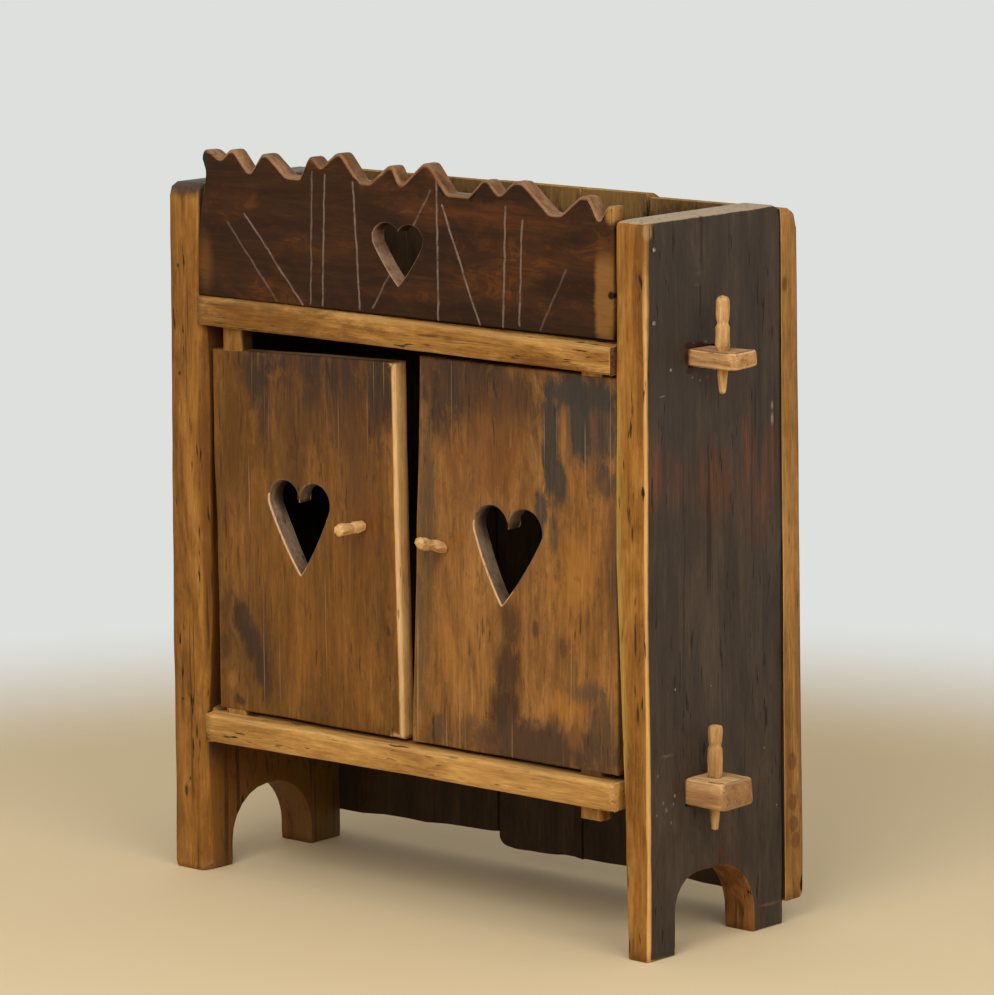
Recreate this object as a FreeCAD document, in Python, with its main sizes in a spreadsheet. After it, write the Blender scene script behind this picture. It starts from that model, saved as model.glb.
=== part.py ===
import FreeCAD, Part
import math
import os
import Sketcher
from types import SimpleNamespace

# A low knock-down jelly cupboard of thick hand-cut planks. Two side planks with arched feet are
# joined by two shelves whose tenons run through the sides and are held by upright tusk pegs.
# A toothed frieze with a heart stands on the top shelf, four planks close the back, and two
# plank doors with heart openings turn on pivots cut from their own wood.
# Millimetres: X to the right, Y to the back, Z up, origin on the floor under the middle.

SIZES = {
    # Side planks, with the room between them
    "side_height": 750.0,
    "side_depth": 217.5,
    "side_thickness": 42.5,
    "side_corner": 9.0,
    "side_arris": 4.0,
    "inside_width": 578.0,
    "front_foot": 43.0,
    "rear_foot": 48.0,
    "arch_height": 81.0,
    "foot_taper": 19.0,
    # Shelves, whose front edges stand out past the sides a little more at the right. The bottom one is
    # placed by the height of its underside, the top one by how far that lies below the tops of the sides.
    "shelf_overhang_left": 6.0,
    "shelf_overhang_right": 14.0,
    "shelf_nose": 7.0,
    "bottom_shelf_height": 152.0,
    "bottom_shelf_thickness": 30.0,
    "top_shelf_drop": 149.0,
    "top_shelf_thickness": 31.0,
    # Tenons at the shelf ends
    "tenon_middle": 84.0,
    "tenon_chamfer": 4.0,
    "bottom_tenon_width": 50.0,
    "bottom_tenon_thickness": 30.0,
    "bottom_tenon_reach": 47.0,
    "top_tenon_width": 36.0,
    "top_tenon_thickness": 20.0,
    "top_tenon_reach": 55.0,
    "mortise_clearance": 0.2,
    # Tusk pegs
    "bottom_peg_standoff": 16.5,
    "top_peg_standoff": 25.0,
    "peg_head_height": 54.0,
    "peg_head_radius": 7.6,
    "peg_tip_length": 29.0,
    "peg_clearance": 0.08,
    # Frieze
    "frieze_thickness": 20.0,
    "frieze_valley_height": 136.0,
    "tooth_rise": 28.0,
    "frieze_heart_offset": -4.0,
    "frieze_heart_tip": 32.0,
    "frieze_heart_width": 71.0,
    "frieze_heart_height": 67.0,
    "frieze_heart_lean": 1.0,
    # Back planks, the fourth of which takes the width that is left
    "back_thickness": 27.0,
    "back_gap": 0.8,
    "back_foot_gap": 27.0,
    "back_top_rise": 2.0,
    "back_plank_1_width": 274.0,
    "back_plank_2_width": 118.0,
    "back_plank_3_width": 90.0,
    # Doors and their pivots. Each door fills the room between the shelves, its side and the middle,
    # less a gap at each of its corners.
    "door_thickness": 20.0,
    "door_recess": 6.0,
    "door_sill_gap": 2.0,
    "pivot_inset": 41.0,
    "pivot_clearance": 0.05,
    "pivot_socket": 24.0,
    "pivot_head_gap": 1.0,
    "pivot_foot": 9.0,
    "left_door_side_gap_top": 14.5,
    "left_door_side_gap_bottom": 18.5,
    "left_door_middle_gap_top": 15.0,
    "left_door_middle_gap_bottom": 12.5,
    "left_door_hinge_head_gap": 26.5,
    "left_door_free_head_gap": 17.5,
    "left_heart_width": 86.0,
    "left_heart_height": 99.0,
    "left_heart_lean": 1.5,
    "right_door_side_gap_top": 6.0,
    "right_door_side_gap_bottom": 5.0,
    "right_door_middle_gap_top": 21.0,
    "right_door_middle_gap_bottom": 8.5,
    "right_door_hinge_head_gap": 6.5,
    "right_door_free_head_gap": 8.0,
    "right_heart_width": 90.0,
    "right_heart_height": 102.0,
    "right_heart_lean": 9.0,
    # Knobs
    "knob_length": 40.0,
    "knob_head_radius": 7.3,
    "knob_clearance": 0.05,
    # Forged nails
    "nail_length": 62.0,
    "nail_radius": 1.8,
    "nail_head_radius": 4.0,
    "nail_head_thickness": 1.5,
    "nail_clearance": 0.05,
    "nail_inset": 25.0,
}

# Frieze skyline from left to right: teeth and valleys in turn, each a short level stretch from
# one share of the half width to the next, at a share of the tooth rise above the valley line.
# The upper corners at the two ends are a share of the half width and a share of the rise.
SKYLINE_SHARES = [
    (-0.960, -0.935, 0.72), (-0.885, -0.875, 0.45), (-0.830, -0.815, 0.80), (-0.745, -0.725, 0.05),
    (-0.670, -0.650, 0.74), (-0.560, -0.475, 0.00), (-0.435, -0.425, 0.78), (-0.387, -0.377, 0.47),
    (-0.303, -0.288, 1.00), (-0.205, -0.140, 0.03), (-0.055, -0.035, 0.70), (-0.005, 0.015, 0.10),
    (0.113, 0.133, 0.90), (0.210, 0.335, -0.12), (0.393, 0.407, 0.48), (0.455, 0.473, 0.02),
    (0.535, 0.568, 0.53), (0.690, 0.750, -0.52), (0.835, 0.868, 0.20), (0.910, 0.926, -0.56),
    (0.955, 0.985, -0.07),
]
SKYLINE_LEFT_SHARES = (-0.968, 0.30)
SKYLINE_RIGHT_SHARES = (0.998, -0.20)

# Frieze nails: heights above the top shelf as shares of what the sides rise above it
FRIEZE_NAIL_SHARES = (0.17, 0.79)

# Rounding of the foot arch at its front and its rear, as shares of the arch's width and height
ARCH_FRONT_SHARES = (0.2846, 0.4444)
ARCH_REAR_SHARES = (0.4901, 0.7654)

# Heart outline as shares of its width and height, from the notch round one lobe to the tip
HEART_LOBE_SHARES = (0.30, 1.00)
HEART_FLANK_SHARES = (0.50, 0.74)
HEART_CHEEK_SHARES = (0.28, 0.36)
DOOR_NOTCH_SHARE = 0.78
FRIEZE_NOTCH_SHARE = 0.88

# Places of heart tips and knobs on the doors: shares of the way from the pivot to the free edge,
# and of the height of the hanging edge
HEART_PLACE_SHARES = {"left": (0.4120, 0.4102), "right": (0.4824, 0.3927)}
KNOB_PLACE_SHARES = {"left": (0.8069, 0.5707), "right": (0.8612, 0.5321)}
# Half the width of a pivot as a share of the door's thickness
PIVOT_RADIUS_SHARE = 0.6

# Back planks: lower left, lower right and upper ends as shares of the foot gap and the top rise
BACK_END_SHARES = [(1.00, 1.42, 0.50), (0.82, 0.96, 1.00), (0.96, 1.00, 1.00), (1.00, 0.86, -0.80)]

# Peg head and knob: heights of collar, waist and swelling as shares of the length, and how thick
# the slimmer parts are as shares of the thickest
PEG_COLLAR_SHARE = 0.36
PEG_WAIST_SHARE = 0.52
PEG_SWELL_SHARE = 0.72
PEG_CROWN_SHARE = 0.92
PEG_WAIST_WIDTH_SHARE = 0.70
PEG_SHANK_WIDTH_SHARE = 0.84
PEG_TIP_WIDTH_SHARE = 0.44
CROWN_WIDTH_SHARE = 0.72
KNOB_COLLAR_SHARE = 0.22
KNOB_WAIST_SHARE = 0.45
KNOB_SWELL_SHARE = 0.72
KNOB_CROWN_SHARE = 0.93
KNOB_COLLAR_WIDTH_SHARE = 0.904
KNOB_WAIST_WIDTH_SHARE = 0.712
KNOB_SHANK_WIDTH_SHARE = 0.616

HALF = 0.5
FULL_TURN = 360.0
# How far the middle of a quarter arc lies from the corner that the arc rounds, per unit of radius
QUARTER_ARC_RISE = 1 - math.sqrt(HALF)
# Two places nearer than this are the same place when edges are picked out
SAME_PLACE = 1e-4


class Size:
    """A length that holds its number in millimetres and the sheet formula that gives it."""

    def __init__(self, number, formula):
        self.number = number
        self.formula = formula

    def __add__(self, other):
        other = as_size(other)
        return Size(self.number + other.number, f"({self.formula} + {other.formula})")

    def __sub__(self, other):
        other = as_size(other)
        return Size(self.number - other.number, f"({self.formula} - {other.formula})")

    def __neg__(self):
        return Size(-self.number, f"(0 - {self.formula})")

    def __mul__(self, factor):
        return Size(self.number * factor, f"({self.formula} * ({factor}))")


def as_size(value):
    """A Size as it is, or a zero as a Size."""
    return value if isinstance(value, Size) else Size(value, str(value))


def chord_half(radius, distance):
    """Half the chord that a line at the given distance from the centre cuts from a circle."""
    number = math.sqrt(radius.number ** 2 - distance.number ** 2)
    return Size(number, f"sqrt({radius.formula} ^ 2 - {distance.formula} ^ 2)")


doc = FreeCAD.newDocument("jelly_cupboard")
sheet = doc.addObject("Spreadsheet::Sheet", "sizes")
for row, (alias, length) in enumerate(SIZES.items(), start=1):
    sheet.set(f"A{row}", alias)
    sheet.set(f"B{row}", str(length))
    sheet.setAlias(f"B{row}", alias)
doc.recompute()
dim = SimpleNamespace(**{alias: Size(length, f"sizes.{alias}") for alias, length in SIZES.items()})
bodies = []


def bind(target, path, size):
    """Tie a property or a constraint to its formula in the sheet."""
    target.setExpression(path, as_size(size).formula)


def new_body(label, x, y, z):
    """An empty sub-part whose own origin stands at x, y, z of the whole piece."""
    body = doc.addObject("PartDesign::Body", label)
    body.Label = label
    for axis, size in (("x", x), ("y", y), ("z", z)):
        bind(body, f"Placement.Base.{axis}", size)
    bodies.append(body)
    return body


def new_sketch(body, plane, name, offset=0):
    """A sketch on one of the body's origin planes, moved along that plane's normal."""
    sketch = body.newObject("Sketcher::SketchObject", f"{body.Name}_{name}")
    support = next(feature for feature in body.Origin.OriginFeatures if feature.Role == plane)
    sketch.AttachmentSupport = (support, [""])
    sketch.MapMode = "FlatFace"
    bind(sketch, "AttachmentOffset.Base.z", offset)
    return sketch


def place(x, y):
    """A point in a sketch plane."""
    return FreeCAD.Vector(as_size(x).number, as_size(y).number, 0)


def hold(sketch, geometry, point, x, y):
    """Fix a point of a sketch at formulas for its two distances from the sketch origin."""
    for kind, size in (("DistanceX", as_size(x)), ("DistanceY", as_size(y))):
        index = sketch.addConstraint(Sketcher.Constraint(kind, -1, 1, geometry, point, size.number))
        bind(sketch, f"Constraints[{index}]", size)


def draw_edge(sketch, begin, step):
    """Draw one edge from begin: a straight one to (x, y), or an arc through (x, y) to (x, y).

    Returns the edge and which of its two ends lie at its beginning and its finish."""
    if len(step) == 2:
        return sketch.addGeometry(Part.LineSegment(place(*begin), place(*step))), 1, 2
    first, middle, last = place(*begin), place(*step[:2]), place(*step[2:])
    turns_left = (middle - first).cross(last - middle).z > 0
    arc = Part.Arc(first, middle, last) if turns_left else Part.Arc(last, middle, first)
    edge = sketch.addGeometry(arc)
    guide = sketch.addGeometry(Part.Point(middle), True)
    hold(sketch, guide, 1, *step[:2])
    sketch.addConstraint(Sketcher.Constraint("PointOnObject", guide, 1, edge))
    return (edge, 1, 2) if turns_left else (edge, 2, 1)


def draw_outline(sketch, steps):
    """Draw a closed outline whose every step ends an edge that begins where the last one ended."""
    edges = [draw_edge(sketch, steps[index - 1][-2:], step) for index, step in enumerate(steps)]
    for index, (edge, _, finish) in enumerate(edges):
        after, beginning, _ = edges[(index + 1) % len(edges)]
        sketch.addConstraint(Sketcher.Constraint("Coincident", edge, finish, after, beginning))
        hold(sketch, edge, finish, *steps[index][-2:])


def draw_rectangle(sketch, left, right, low, high):
    draw_outline(sketch, [(left, low), (right, low), (right, high), (left, high)])


def draw_circle(sketch, x, y, radius):
    circle = sketch.addGeometry(Part.Circle(place(x, y), FreeCAD.Vector(0, 0, 1), radius.number))
    hold(sketch, circle, 3, x, y)
    index = sketch.addConstraint(Sketcher.Constraint("Radius", circle, radius.number))
    bind(sketch, f"Constraints[{index}]", radius)


def draw_heart(sketch, middle, tip, width, height, lean, notch_share):
    """A heart of four arcs: two lobes that meet in a notch, two cheeks that meet in a tip."""
    lobe_x, lobe_y = HEART_LOBE_SHARES
    flank_x, flank_y = HEART_FLANK_SHARES
    cheek_x, cheek_y = HEART_CHEEK_SHARES
    cheek_middle = middle + lean * HALF
    draw_outline(sketch, [
        (middle + width * lobe_x, tip + height * lobe_y, middle, tip + height * notch_share),
        (middle - width * lobe_x, tip + height * lobe_y, middle - width * flank_x, tip + height * flank_y),
        (cheek_middle - width * cheek_x, tip + height * cheek_y, middle + lean, tip),
        (cheek_middle + width * cheek_x, tip + height * cheek_y,
         middle + width * flank_x, tip + height * flank_y),
    ])


def pad(body, sketch, length, reverse=False, both_ways=False):
    """Raise a sketch to a solid on one side of its plane, or half on each side."""
    feature = body.newObject("PartDesign::Pad", f"{sketch.Name}_pad")
    feature.Profile = sketch
    feature.Reversed = reverse
    feature.SideType = "Symmetric" if both_ways else "One side"
    bind(feature, "Length", length)
    doc.recompute()
    return feature


def cut(body, sketch, depth=None, reverse=False):
    """Cut a sketch out of the body: right through, or to a depth on one side of its plane."""
    volume = body.Shape.Volume
    feature = body.newObject("PartDesign::Pocket", f"{sketch.Name}_cut")
    feature.Profile = sketch
    if depth is None:
        feature.Type = "ThroughAll"
        feature.SideType = "Symmetric"
    else:
        feature.Reversed = reverse
        bind(feature, "Length", depth)
    doc.recompute()
    if body.Shape.Volume >= volume:
        raise RuntimeError(f"{sketch.Name} cuts nothing")


def dress_edges(body, kind, measure, size, wanted):
    """Round or chamfer every edge of the body whose box the test accepts."""
    base = body.Tip
    names = [f"Edge{n}" for n, edge in enumerate(base.Shape.Edges, start=1) if wanted(edge.BoundBox)]
    feature = body.newObject(f"PartDesign::{kind}", f"{body.Name}_{kind.lower()}")
    feature.Base = (base, names)
    bind(feature, measure, size)
    doc.recompute()


def turn(body, sketch):
    """Turn a half profile about the upright axis of its sketch."""
    feature = body.newObject("PartDesign::Revolution", f"{sketch.Name}_turned")
    feature.Profile = sketch
    feature.ReferenceAxis = (sketch, ["V_Axis"])
    feature.Angle = FULL_TURN
    doc.recompute()


# Places that several pieces share
inside_half = dim.inside_width * HALF
outside_half = inside_half + dim.side_thickness
sill_height = dim.bottom_shelf_height + dim.bottom_shelf_thickness
top_shelf_height = dim.side_height - dim.top_shelf_drop
frieze_height = top_shelf_height + dim.top_shelf_thickness
front_y = (dim.knob_length - dim.door_recess - dim.side_depth - dim.back_thickness) * HALF
back_y = front_y + dim.side_depth
pivot_x = inside_half - dim.pivot_inset
pivot_y = dim.door_recess + dim.door_thickness * HALF
pivot_radius = dim.door_thickness * PIVOT_RADIUS_SHARE
peg_shank_radius = dim.peg_head_radius * PEG_SHANK_WIDTH_SHARE
knob_shank_radius = dim.knob_head_radius * KNOB_SHANK_WIDTH_SHARE
frieze_nail_y = dim.frieze_thickness * HALF
frieze_nail_rises = [(dim.side_height - frieze_height) * share for share in FRIEZE_NAIL_SHARES]
nail_hole = dim.nail_radius + dim.nail_clearance
nail_head_hole = dim.nail_head_radius + dim.nail_clearance

shelves = {
    "bottom": SimpleNamespace(
        height=dim.bottom_shelf_height, thickness=dim.bottom_shelf_thickness,
        tenon_width=dim.bottom_tenon_width, tenon_thickness=dim.bottom_tenon_thickness,
        tenon_reach=dim.bottom_tenon_reach, standoff=dim.bottom_peg_standoff, socket=None),
    "top": SimpleNamespace(
        height=top_shelf_height, thickness=dim.top_shelf_thickness,
        tenon_width=dim.top_tenon_width, tenon_thickness=dim.top_tenon_thickness,
        tenon_reach=dim.top_tenon_reach, standoff=dim.top_peg_standoff, socket=dim.pivot_socket),
}


def back_spans():
    """Left and right edges of the back planks, from left to right."""
    spans = []
    left = -outside_half
    for width in (dim.back_plank_1_width, dim.back_plank_2_width, dim.back_plank_3_width):
        spans.append((left, left + width))
        left = left + width + dim.back_gap
    return spans + [(left, outside_half)]


def back_nail_columns():
    """Distances from the middle at which nails go through the back planks, from left to right."""
    return [x for left, right in back_spans() for x in (left + dim.nail_inset, right - dim.nail_inset)]


def back_nail_heights():
    return [shelf.height + shelf.thickness * HALF for shelf in shelves.values()]


def make_side(label, left_x, nail_column, right_hand):
    """A side plank, sawn to an arch between two feet and mortised for the shelf tenons.

    The right-hand one is thinned on the inside below the bottom shelf."""
    body = new_body(label, left_x, front_y, 0)
    depth, height, corner = dim.side_depth, dim.side_height, dim.side_corner
    corner_rise = corner * QUARTER_ARC_RISE
    arch_rear = depth - dim.rear_foot
    arch_width = arch_rear - dim.front_foot
    front_width, front_rise = arch_width * ARCH_FRONT_SHARES[0], dim.arch_height * ARCH_FRONT_SHARES[1]
    rear_width, rear_rise = arch_width * ARCH_REAR_SHARES[0], dim.arch_height * ARCH_REAR_SHARES[1]
    profile = new_sketch(body, "YZ_Plane", "profile")
    draw_outline(profile, [
        (0, 0),
        (0, height - corner),
        (corner_rise, height - corner_rise, corner, height),
        (depth - corner, height),
        (depth - corner_rise, height - corner_rise, depth, height - corner),
        (depth, 0),
        (arch_rear, 0),
        (arch_rear, dim.arch_height - rear_rise),
        (arch_rear - rear_width * QUARTER_ARC_RISE, dim.arch_height - rear_rise * QUARTER_ARC_RISE,
         arch_rear - rear_width, dim.arch_height),
        (dim.front_foot + front_width, dim.arch_height),
        (dim.front_foot + front_width * QUARTER_ARC_RISE, dim.arch_height - front_rise * QUARTER_ARC_RISE,
         dim.front_foot, dim.arch_height - front_rise),
        (dim.front_foot, 0),
    ])
    pad(body, profile, dim.side_thickness)
    dress_edges(body, "Fillet", "Radius", dim.side_arris,
                lambda box: box.YMax < SAME_PLACE and box.XLength < SAME_PLACE)

    mortises = new_sketch(body, "YZ_Plane", "mortises")
    for shelf in shelves.values():
        half_width = shelf.tenon_width * HALF + dim.mortise_clearance
        draw_rectangle(mortises, dim.tenon_middle - half_width, dim.tenon_middle + half_width,
                       shelf.height - dim.mortise_clearance,
                       shelf.height + shelf.tenon_thickness + dim.mortise_clearance)
    cut(body, mortises)

    frieze_nail_holes = new_sketch(body, "YZ_Plane", "frieze_nail_holes")
    for rise in frieze_nail_rises:
        draw_circle(frieze_nail_holes, frieze_nail_y, frieze_height + rise, nail_hole)
    cut(body, frieze_nail_holes)
    outer_face = dim.side_thickness if right_hand else 0
    head_holes = new_sketch(body, "YZ_Plane", "frieze_nail_heads", outer_face)
    for rise in frieze_nail_rises:
        draw_circle(head_holes, frieze_nail_y, frieze_height + rise, nail_head_hole)
    cut(body, head_holes, dim.nail_head_thickness, reverse=not right_hand)

    back_nail_holes = new_sketch(body, "XZ_Plane", "back_nail_holes", -depth)
    for nail_height in back_nail_heights():
        draw_circle(back_nail_holes, nail_column - left_x, nail_height, nail_hole)
    cut(body, back_nail_holes, dim.nail_length - dim.back_thickness, reverse=True)

    if right_hand:
        wedge = new_sketch(body, "XZ_Plane", "foot_taper")
        draw_outline(wedge, [(0, 0), (dim.foot_taper, 0), (0, dim.bottom_shelf_height)])
        cut(body, wedge)


def make_shelf(name, shelf):
    """A shelf plank with a round nose, a tenon at each end and holes for pegs and pivots."""
    body = new_body(f"{name}_shelf", 0, front_y, shelf.height)
    tenon_end = outside_half + shelf.tenon_reach
    half_width = shelf.tenon_width * HALF
    board = new_sketch(body, "XY_Plane", "board")
    draw_outline(board, [
        (-inside_half, -dim.shelf_overhang_left),
        (inside_half, -dim.shelf_overhang_right),
        (inside_half, dim.side_depth),
        (-inside_half, dim.side_depth),
    ])
    pad(body, board, shelf.thickness)
    dress_edges(body, "Fillet", "Radius", dim.shelf_nose,
                lambda box: box.YMax < SAME_PLACE and box.ZLength < SAME_PLACE)

    tenons = new_sketch(body, "XY_Plane", "tenons")
    draw_rectangle(tenons, -tenon_end, tenon_end,
                   dim.tenon_middle - half_width, dim.tenon_middle + half_width)
    pad(body, tenons, shelf.tenon_thickness)
    dress_edges(body, "Chamfer", "Size", dim.tenon_chamfer,
                lambda box: max(box.XMax, -box.XMin) > outside_half.number and box.XLength < SAME_PLACE
                and box.YLength < SAME_PLACE)

    peg_holes = new_sketch(body, "XY_Plane", "peg_holes")
    for peg_x in (-outside_half - shelf.standoff, outside_half + shelf.standoff):
        draw_circle(peg_holes, peg_x, dim.tenon_middle, peg_shank_radius + dim.peg_clearance)
    cut(body, peg_holes)

    pivot_holes = new_sketch(body, "XY_Plane", "pivot_holes")
    for hole_x in (-pivot_x, pivot_x):
        draw_circle(pivot_holes, hole_x, pivot_y, pivot_radius + dim.pivot_clearance)
    cut(body, pivot_holes, shelf.socket, reverse=True)

    nail_holes = new_sketch(body, "XZ_Plane", "nail_holes", -dim.side_depth)
    for column in back_nail_columns()[1:-1]:
        draw_circle(nail_holes, column, shelf.thickness * HALF, nail_hole)
    cut(body, nail_holes, dim.nail_length - dim.back_thickness, reverse=True)


def make_frieze():
    """The frieze board, its upper edge cut to uneven teeth, pierced by a heart."""
    body = new_body("frieze_board", 0, front_y, frieze_height)
    face = new_sketch(body, "XZ_Plane", "face")
    shares = [SKYLINE_LEFT_SHARES]
    for left_share, right_share, rise_share in SKYLINE_SHARES:
        shares += [(left_share, rise_share), (right_share, rise_share)]
    shares.append(SKYLINE_RIGHT_SHARES)
    skyline = [(inside_half * x_share, dim.frieze_valley_height + dim.tooth_rise * rise_share)
               for x_share, rise_share in shares]
    draw_outline(face, [(inside_half, 0), (-inside_half, 0)] + skyline)
    draw_heart(face, dim.frieze_heart_offset, dim.frieze_heart_tip, dim.frieze_heart_width,
               dim.frieze_heart_height, dim.frieze_heart_lean, FRIEZE_NOTCH_SHARE)
    pad(body, face, dim.frieze_thickness, reverse=True)
    for end, end_x, from_left in (("left", -inside_half, True), ("right", inside_half, False)):
        holes = new_sketch(body, "YZ_Plane", f"{end}_nail_holes", end_x)
        for rise in frieze_nail_rises:
            draw_circle(holes, frieze_nail_y, rise, nail_hole)
        cut(body, holes, dim.nail_length - dim.side_thickness, reverse=from_left)


def make_back_planks():
    """Four upright back planks of uneven widths and ends, nailed to the shelves and the sides."""
    for number, ((left, right), shares) in enumerate(zip(back_spans(), BACK_END_SHARES), start=1):
        left_share, right_share, top_share = shares
        body = new_body(f"back_plank_{number}", left, back_y, 0)
        width = right - left
        top = dim.side_height + dim.back_top_rise * top_share
        board = new_sketch(body, "XZ_Plane", "board")
        draw_outline(board, [
            (0, dim.back_foot_gap * left_share),
            (width, dim.back_foot_gap * right_share),
            (width, top),
            (0, top),
        ])
        pad(body, board, dim.back_thickness, reverse=True)
        holes = new_sketch(body, "XZ_Plane", "nail_holes")
        head_holes = new_sketch(body, "XZ_Plane", "nail_heads", -dim.back_thickness)
        for column in (dim.nail_inset, width - dim.nail_inset):
            for nail_height in back_nail_heights():
                draw_circle(holes, column, nail_height, nail_hole)
                draw_circle(head_holes, column, nail_height, nail_head_hole)
        cut(body, holes)
        cut(body, head_holes, dim.nail_head_thickness, reverse=True)


def make_door(side, hand):
    """A plank door with a heart opening. It hangs on a pivot left standing at each end of the plank,
    as wide as its hole and as thick as the door. Its own origin is on the pivot axis at the sill,
    and hand is 1 where the free edge lies to the right of the pivot, -1 where it lies to the left."""
    size = {part: getattr(dim, f"{side}_{part}") for part in (
        "door_side_gap_top", "door_side_gap_bottom", "door_middle_gap_top", "door_middle_gap_bottom",
        "door_hinge_head_gap", "door_free_head_gap", "heart_width", "heart_height", "heart_lean")}
    opening_height = top_shelf_height - sill_height
    hinge_height = opening_height - size["door_hinge_head_gap"]
    free_height = opening_height - size["door_free_head_gap"]
    tail_top = dim.pivot_inset - size["door_side_gap_top"]
    tail_bottom = dim.pivot_inset - size["door_side_gap_bottom"]
    reach_top = pivot_x - size["door_middle_gap_top"]
    reach_bottom = pivot_x - size["door_middle_gap_bottom"]
    heart_share, tip_share = HEART_PLACE_SHARES[side]
    knob_share, rise_share = KNOB_PLACE_SHARES[side]
    heart_middle, heart_tip = reach_top * heart_share, hinge_height * tip_share
    knob_reach, knob_height = reach_top * knob_share, hinge_height * rise_share
    body = new_body(f"{side}_door", pivot_x * -hand, front_y + pivot_y, sill_height)
    face = new_sketch(body, "XZ_Plane", "face")
    draw_outline(face, [
        (tail_bottom * -hand, dim.door_sill_gap),
        (reach_bottom * hand, dim.door_sill_gap),
        (reach_top * hand, free_height),
        (tail_top * -hand, hinge_height),
    ])
    draw_heart(face, heart_middle * hand, heart_tip, size["heart_width"], size["heart_height"],
               size["heart_lean"] * hand, DOOR_NOTCH_SHARE)
    pad(body, face, dim.door_thickness, both_ways=True)

    pivot_bottom = dim.bottom_shelf_thickness + dim.pivot_foot
    pivot_top = opening_height + dim.pivot_socket - dim.pivot_head_gap
    half_thickness = dim.door_thickness * HALF
    flat_half = chord_half(pivot_radius, half_thickness)
    pivot = new_sketch(body, "XY_Plane", "pivot", -pivot_bottom)
    draw_outline(pivot, [
        (flat_half, -half_thickness),
        (pivot_radius, 0, flat_half, half_thickness),
        (-flat_half, half_thickness),
        (-pivot_radius, 0, -flat_half, -half_thickness),
    ])
    pad(body, pivot, pivot_bottom + pivot_top)

    knob_hole = new_sketch(body, "XZ_Plane", "knob_hole")
    draw_circle(knob_hole, knob_reach * hand, knob_height, knob_shank_radius + dim.knob_clearance)
    cut(body, knob_hole)
    make_knob(side, pivot_x * -hand + knob_reach * hand, sill_height + knob_height)


def make_knob(side, x, z):
    """A whittled knob whose shank fills its hole through the door, with a collar against the face."""
    body = new_body(f"{side}_door_knob", x, front_y + dim.door_recess, z)
    length = dim.knob_length
    collar_radius = dim.knob_head_radius * KNOB_COLLAR_WIDTH_SHARE
    profile = new_sketch(body, "XY_Plane", "profile")
    draw_outline(profile, [
        (0, dim.door_thickness),
        (0, -length),
        (dim.knob_head_radius * CROWN_WIDTH_SHARE, -length),
        (dim.knob_head_radius, -length * KNOB_CROWN_SHARE),
        (dim.knob_head_radius, -length * KNOB_SWELL_SHARE),
        (dim.knob_head_radius * KNOB_WAIST_WIDTH_SHARE, -length * KNOB_WAIST_SHARE),
        (collar_radius, -length * KNOB_COLLAR_SHARE),
        (collar_radius, 0),
        (knob_shank_radius, 0),
        (knob_shank_radius, dim.door_thickness),
    ])
    turn(body, profile)


def make_peg(label, shelf, x):
    """A tusk peg: its head stands on the tenon, its shank goes through it and tapers out below."""
    body = new_body(label, x, front_y + dim.tenon_middle, shelf.height + shelf.tenon_thickness)
    height = dim.peg_head_height
    tip = -shelf.tenon_thickness - dim.peg_tip_length
    profile = new_sketch(body, "XZ_Plane", "profile")
    draw_outline(profile, [
        (0, height),
        (0, tip),
        (dim.peg_head_radius * PEG_TIP_WIDTH_SHARE, tip),
        (peg_shank_radius, -shelf.tenon_thickness),
        (peg_shank_radius, 0),
        (dim.peg_head_radius, 0),
        (dim.peg_head_radius, height * PEG_COLLAR_SHARE),
        (dim.peg_head_radius * PEG_WAIST_WIDTH_SHARE, height * PEG_WAIST_SHARE),
        (dim.peg_head_radius, height * PEG_SWELL_SHARE),
        (dim.peg_head_radius, height * PEG_CROWN_SHARE),
        (dim.peg_head_radius * CROWN_WIDTH_SHARE, height),
    ])
    turn(body, profile)


def make_frieze_nails():
    """Forged nails driven through both sides into the ends of the frieze, heads let in flush."""
    body = new_body("frieze_nails", 0, front_y, frieze_height)
    driven = []
    for part, length, radius in (("shanks", dim.nail_length, dim.nail_radius),
                                 ("heads", dim.nail_head_thickness, dim.nail_head_radius)):
        sketch = new_sketch(body, "YZ_Plane", part, outside_half)
        for rise in frieze_nail_rises:
            draw_circle(sketch, frieze_nail_y, rise, radius)
        driven.append(pad(body, sketch, length, reverse=True))
    mirrored = body.newObject("PartDesign::Mirrored", "frieze_nails_mirrored")
    mirrored.Originals = driven
    plane = next(feature for feature in body.Origin.OriginFeatures if feature.Role == "YZ_Plane")
    mirrored.MirrorPlane = (plane, [""])
    body.Tip = mirrored
    doc.recompute()


def make_back_nails():
    """Forged nails driven through the back planks, heads let in flush."""
    body = new_body("back_nails", 0, back_y, 0)
    for part, length, radius in (("shanks", dim.nail_length, dim.nail_radius),
                                 ("heads", dim.nail_head_thickness, dim.nail_head_radius)):
        sketch = new_sketch(body, "XZ_Plane", part, -dim.back_thickness)
        for column in back_nail_columns():
            for nail_height in back_nail_heights():
                draw_circle(sketch, column, nail_height, radius)
        pad(body, sketch, length)


make_side("side_left", -outside_half, back_nail_columns()[0], right_hand=False)
make_side("side_right", inside_half, back_nail_columns()[-1], right_hand=True)
for shelf_name, shelf_sizes in shelves.items():
    make_shelf(shelf_name, shelf_sizes)
    make_peg(f"{shelf_name}_left_peg", shelf_sizes, -outside_half - shelf_sizes.standoff)
    make_peg(f"{shelf_name}_right_peg", shelf_sizes, outside_half + shelf_sizes.standoff)
make_frieze()
make_frieze_nails()
make_back_planks()
make_back_nails()
make_door("left", 1)
make_door("right", -1)

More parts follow.
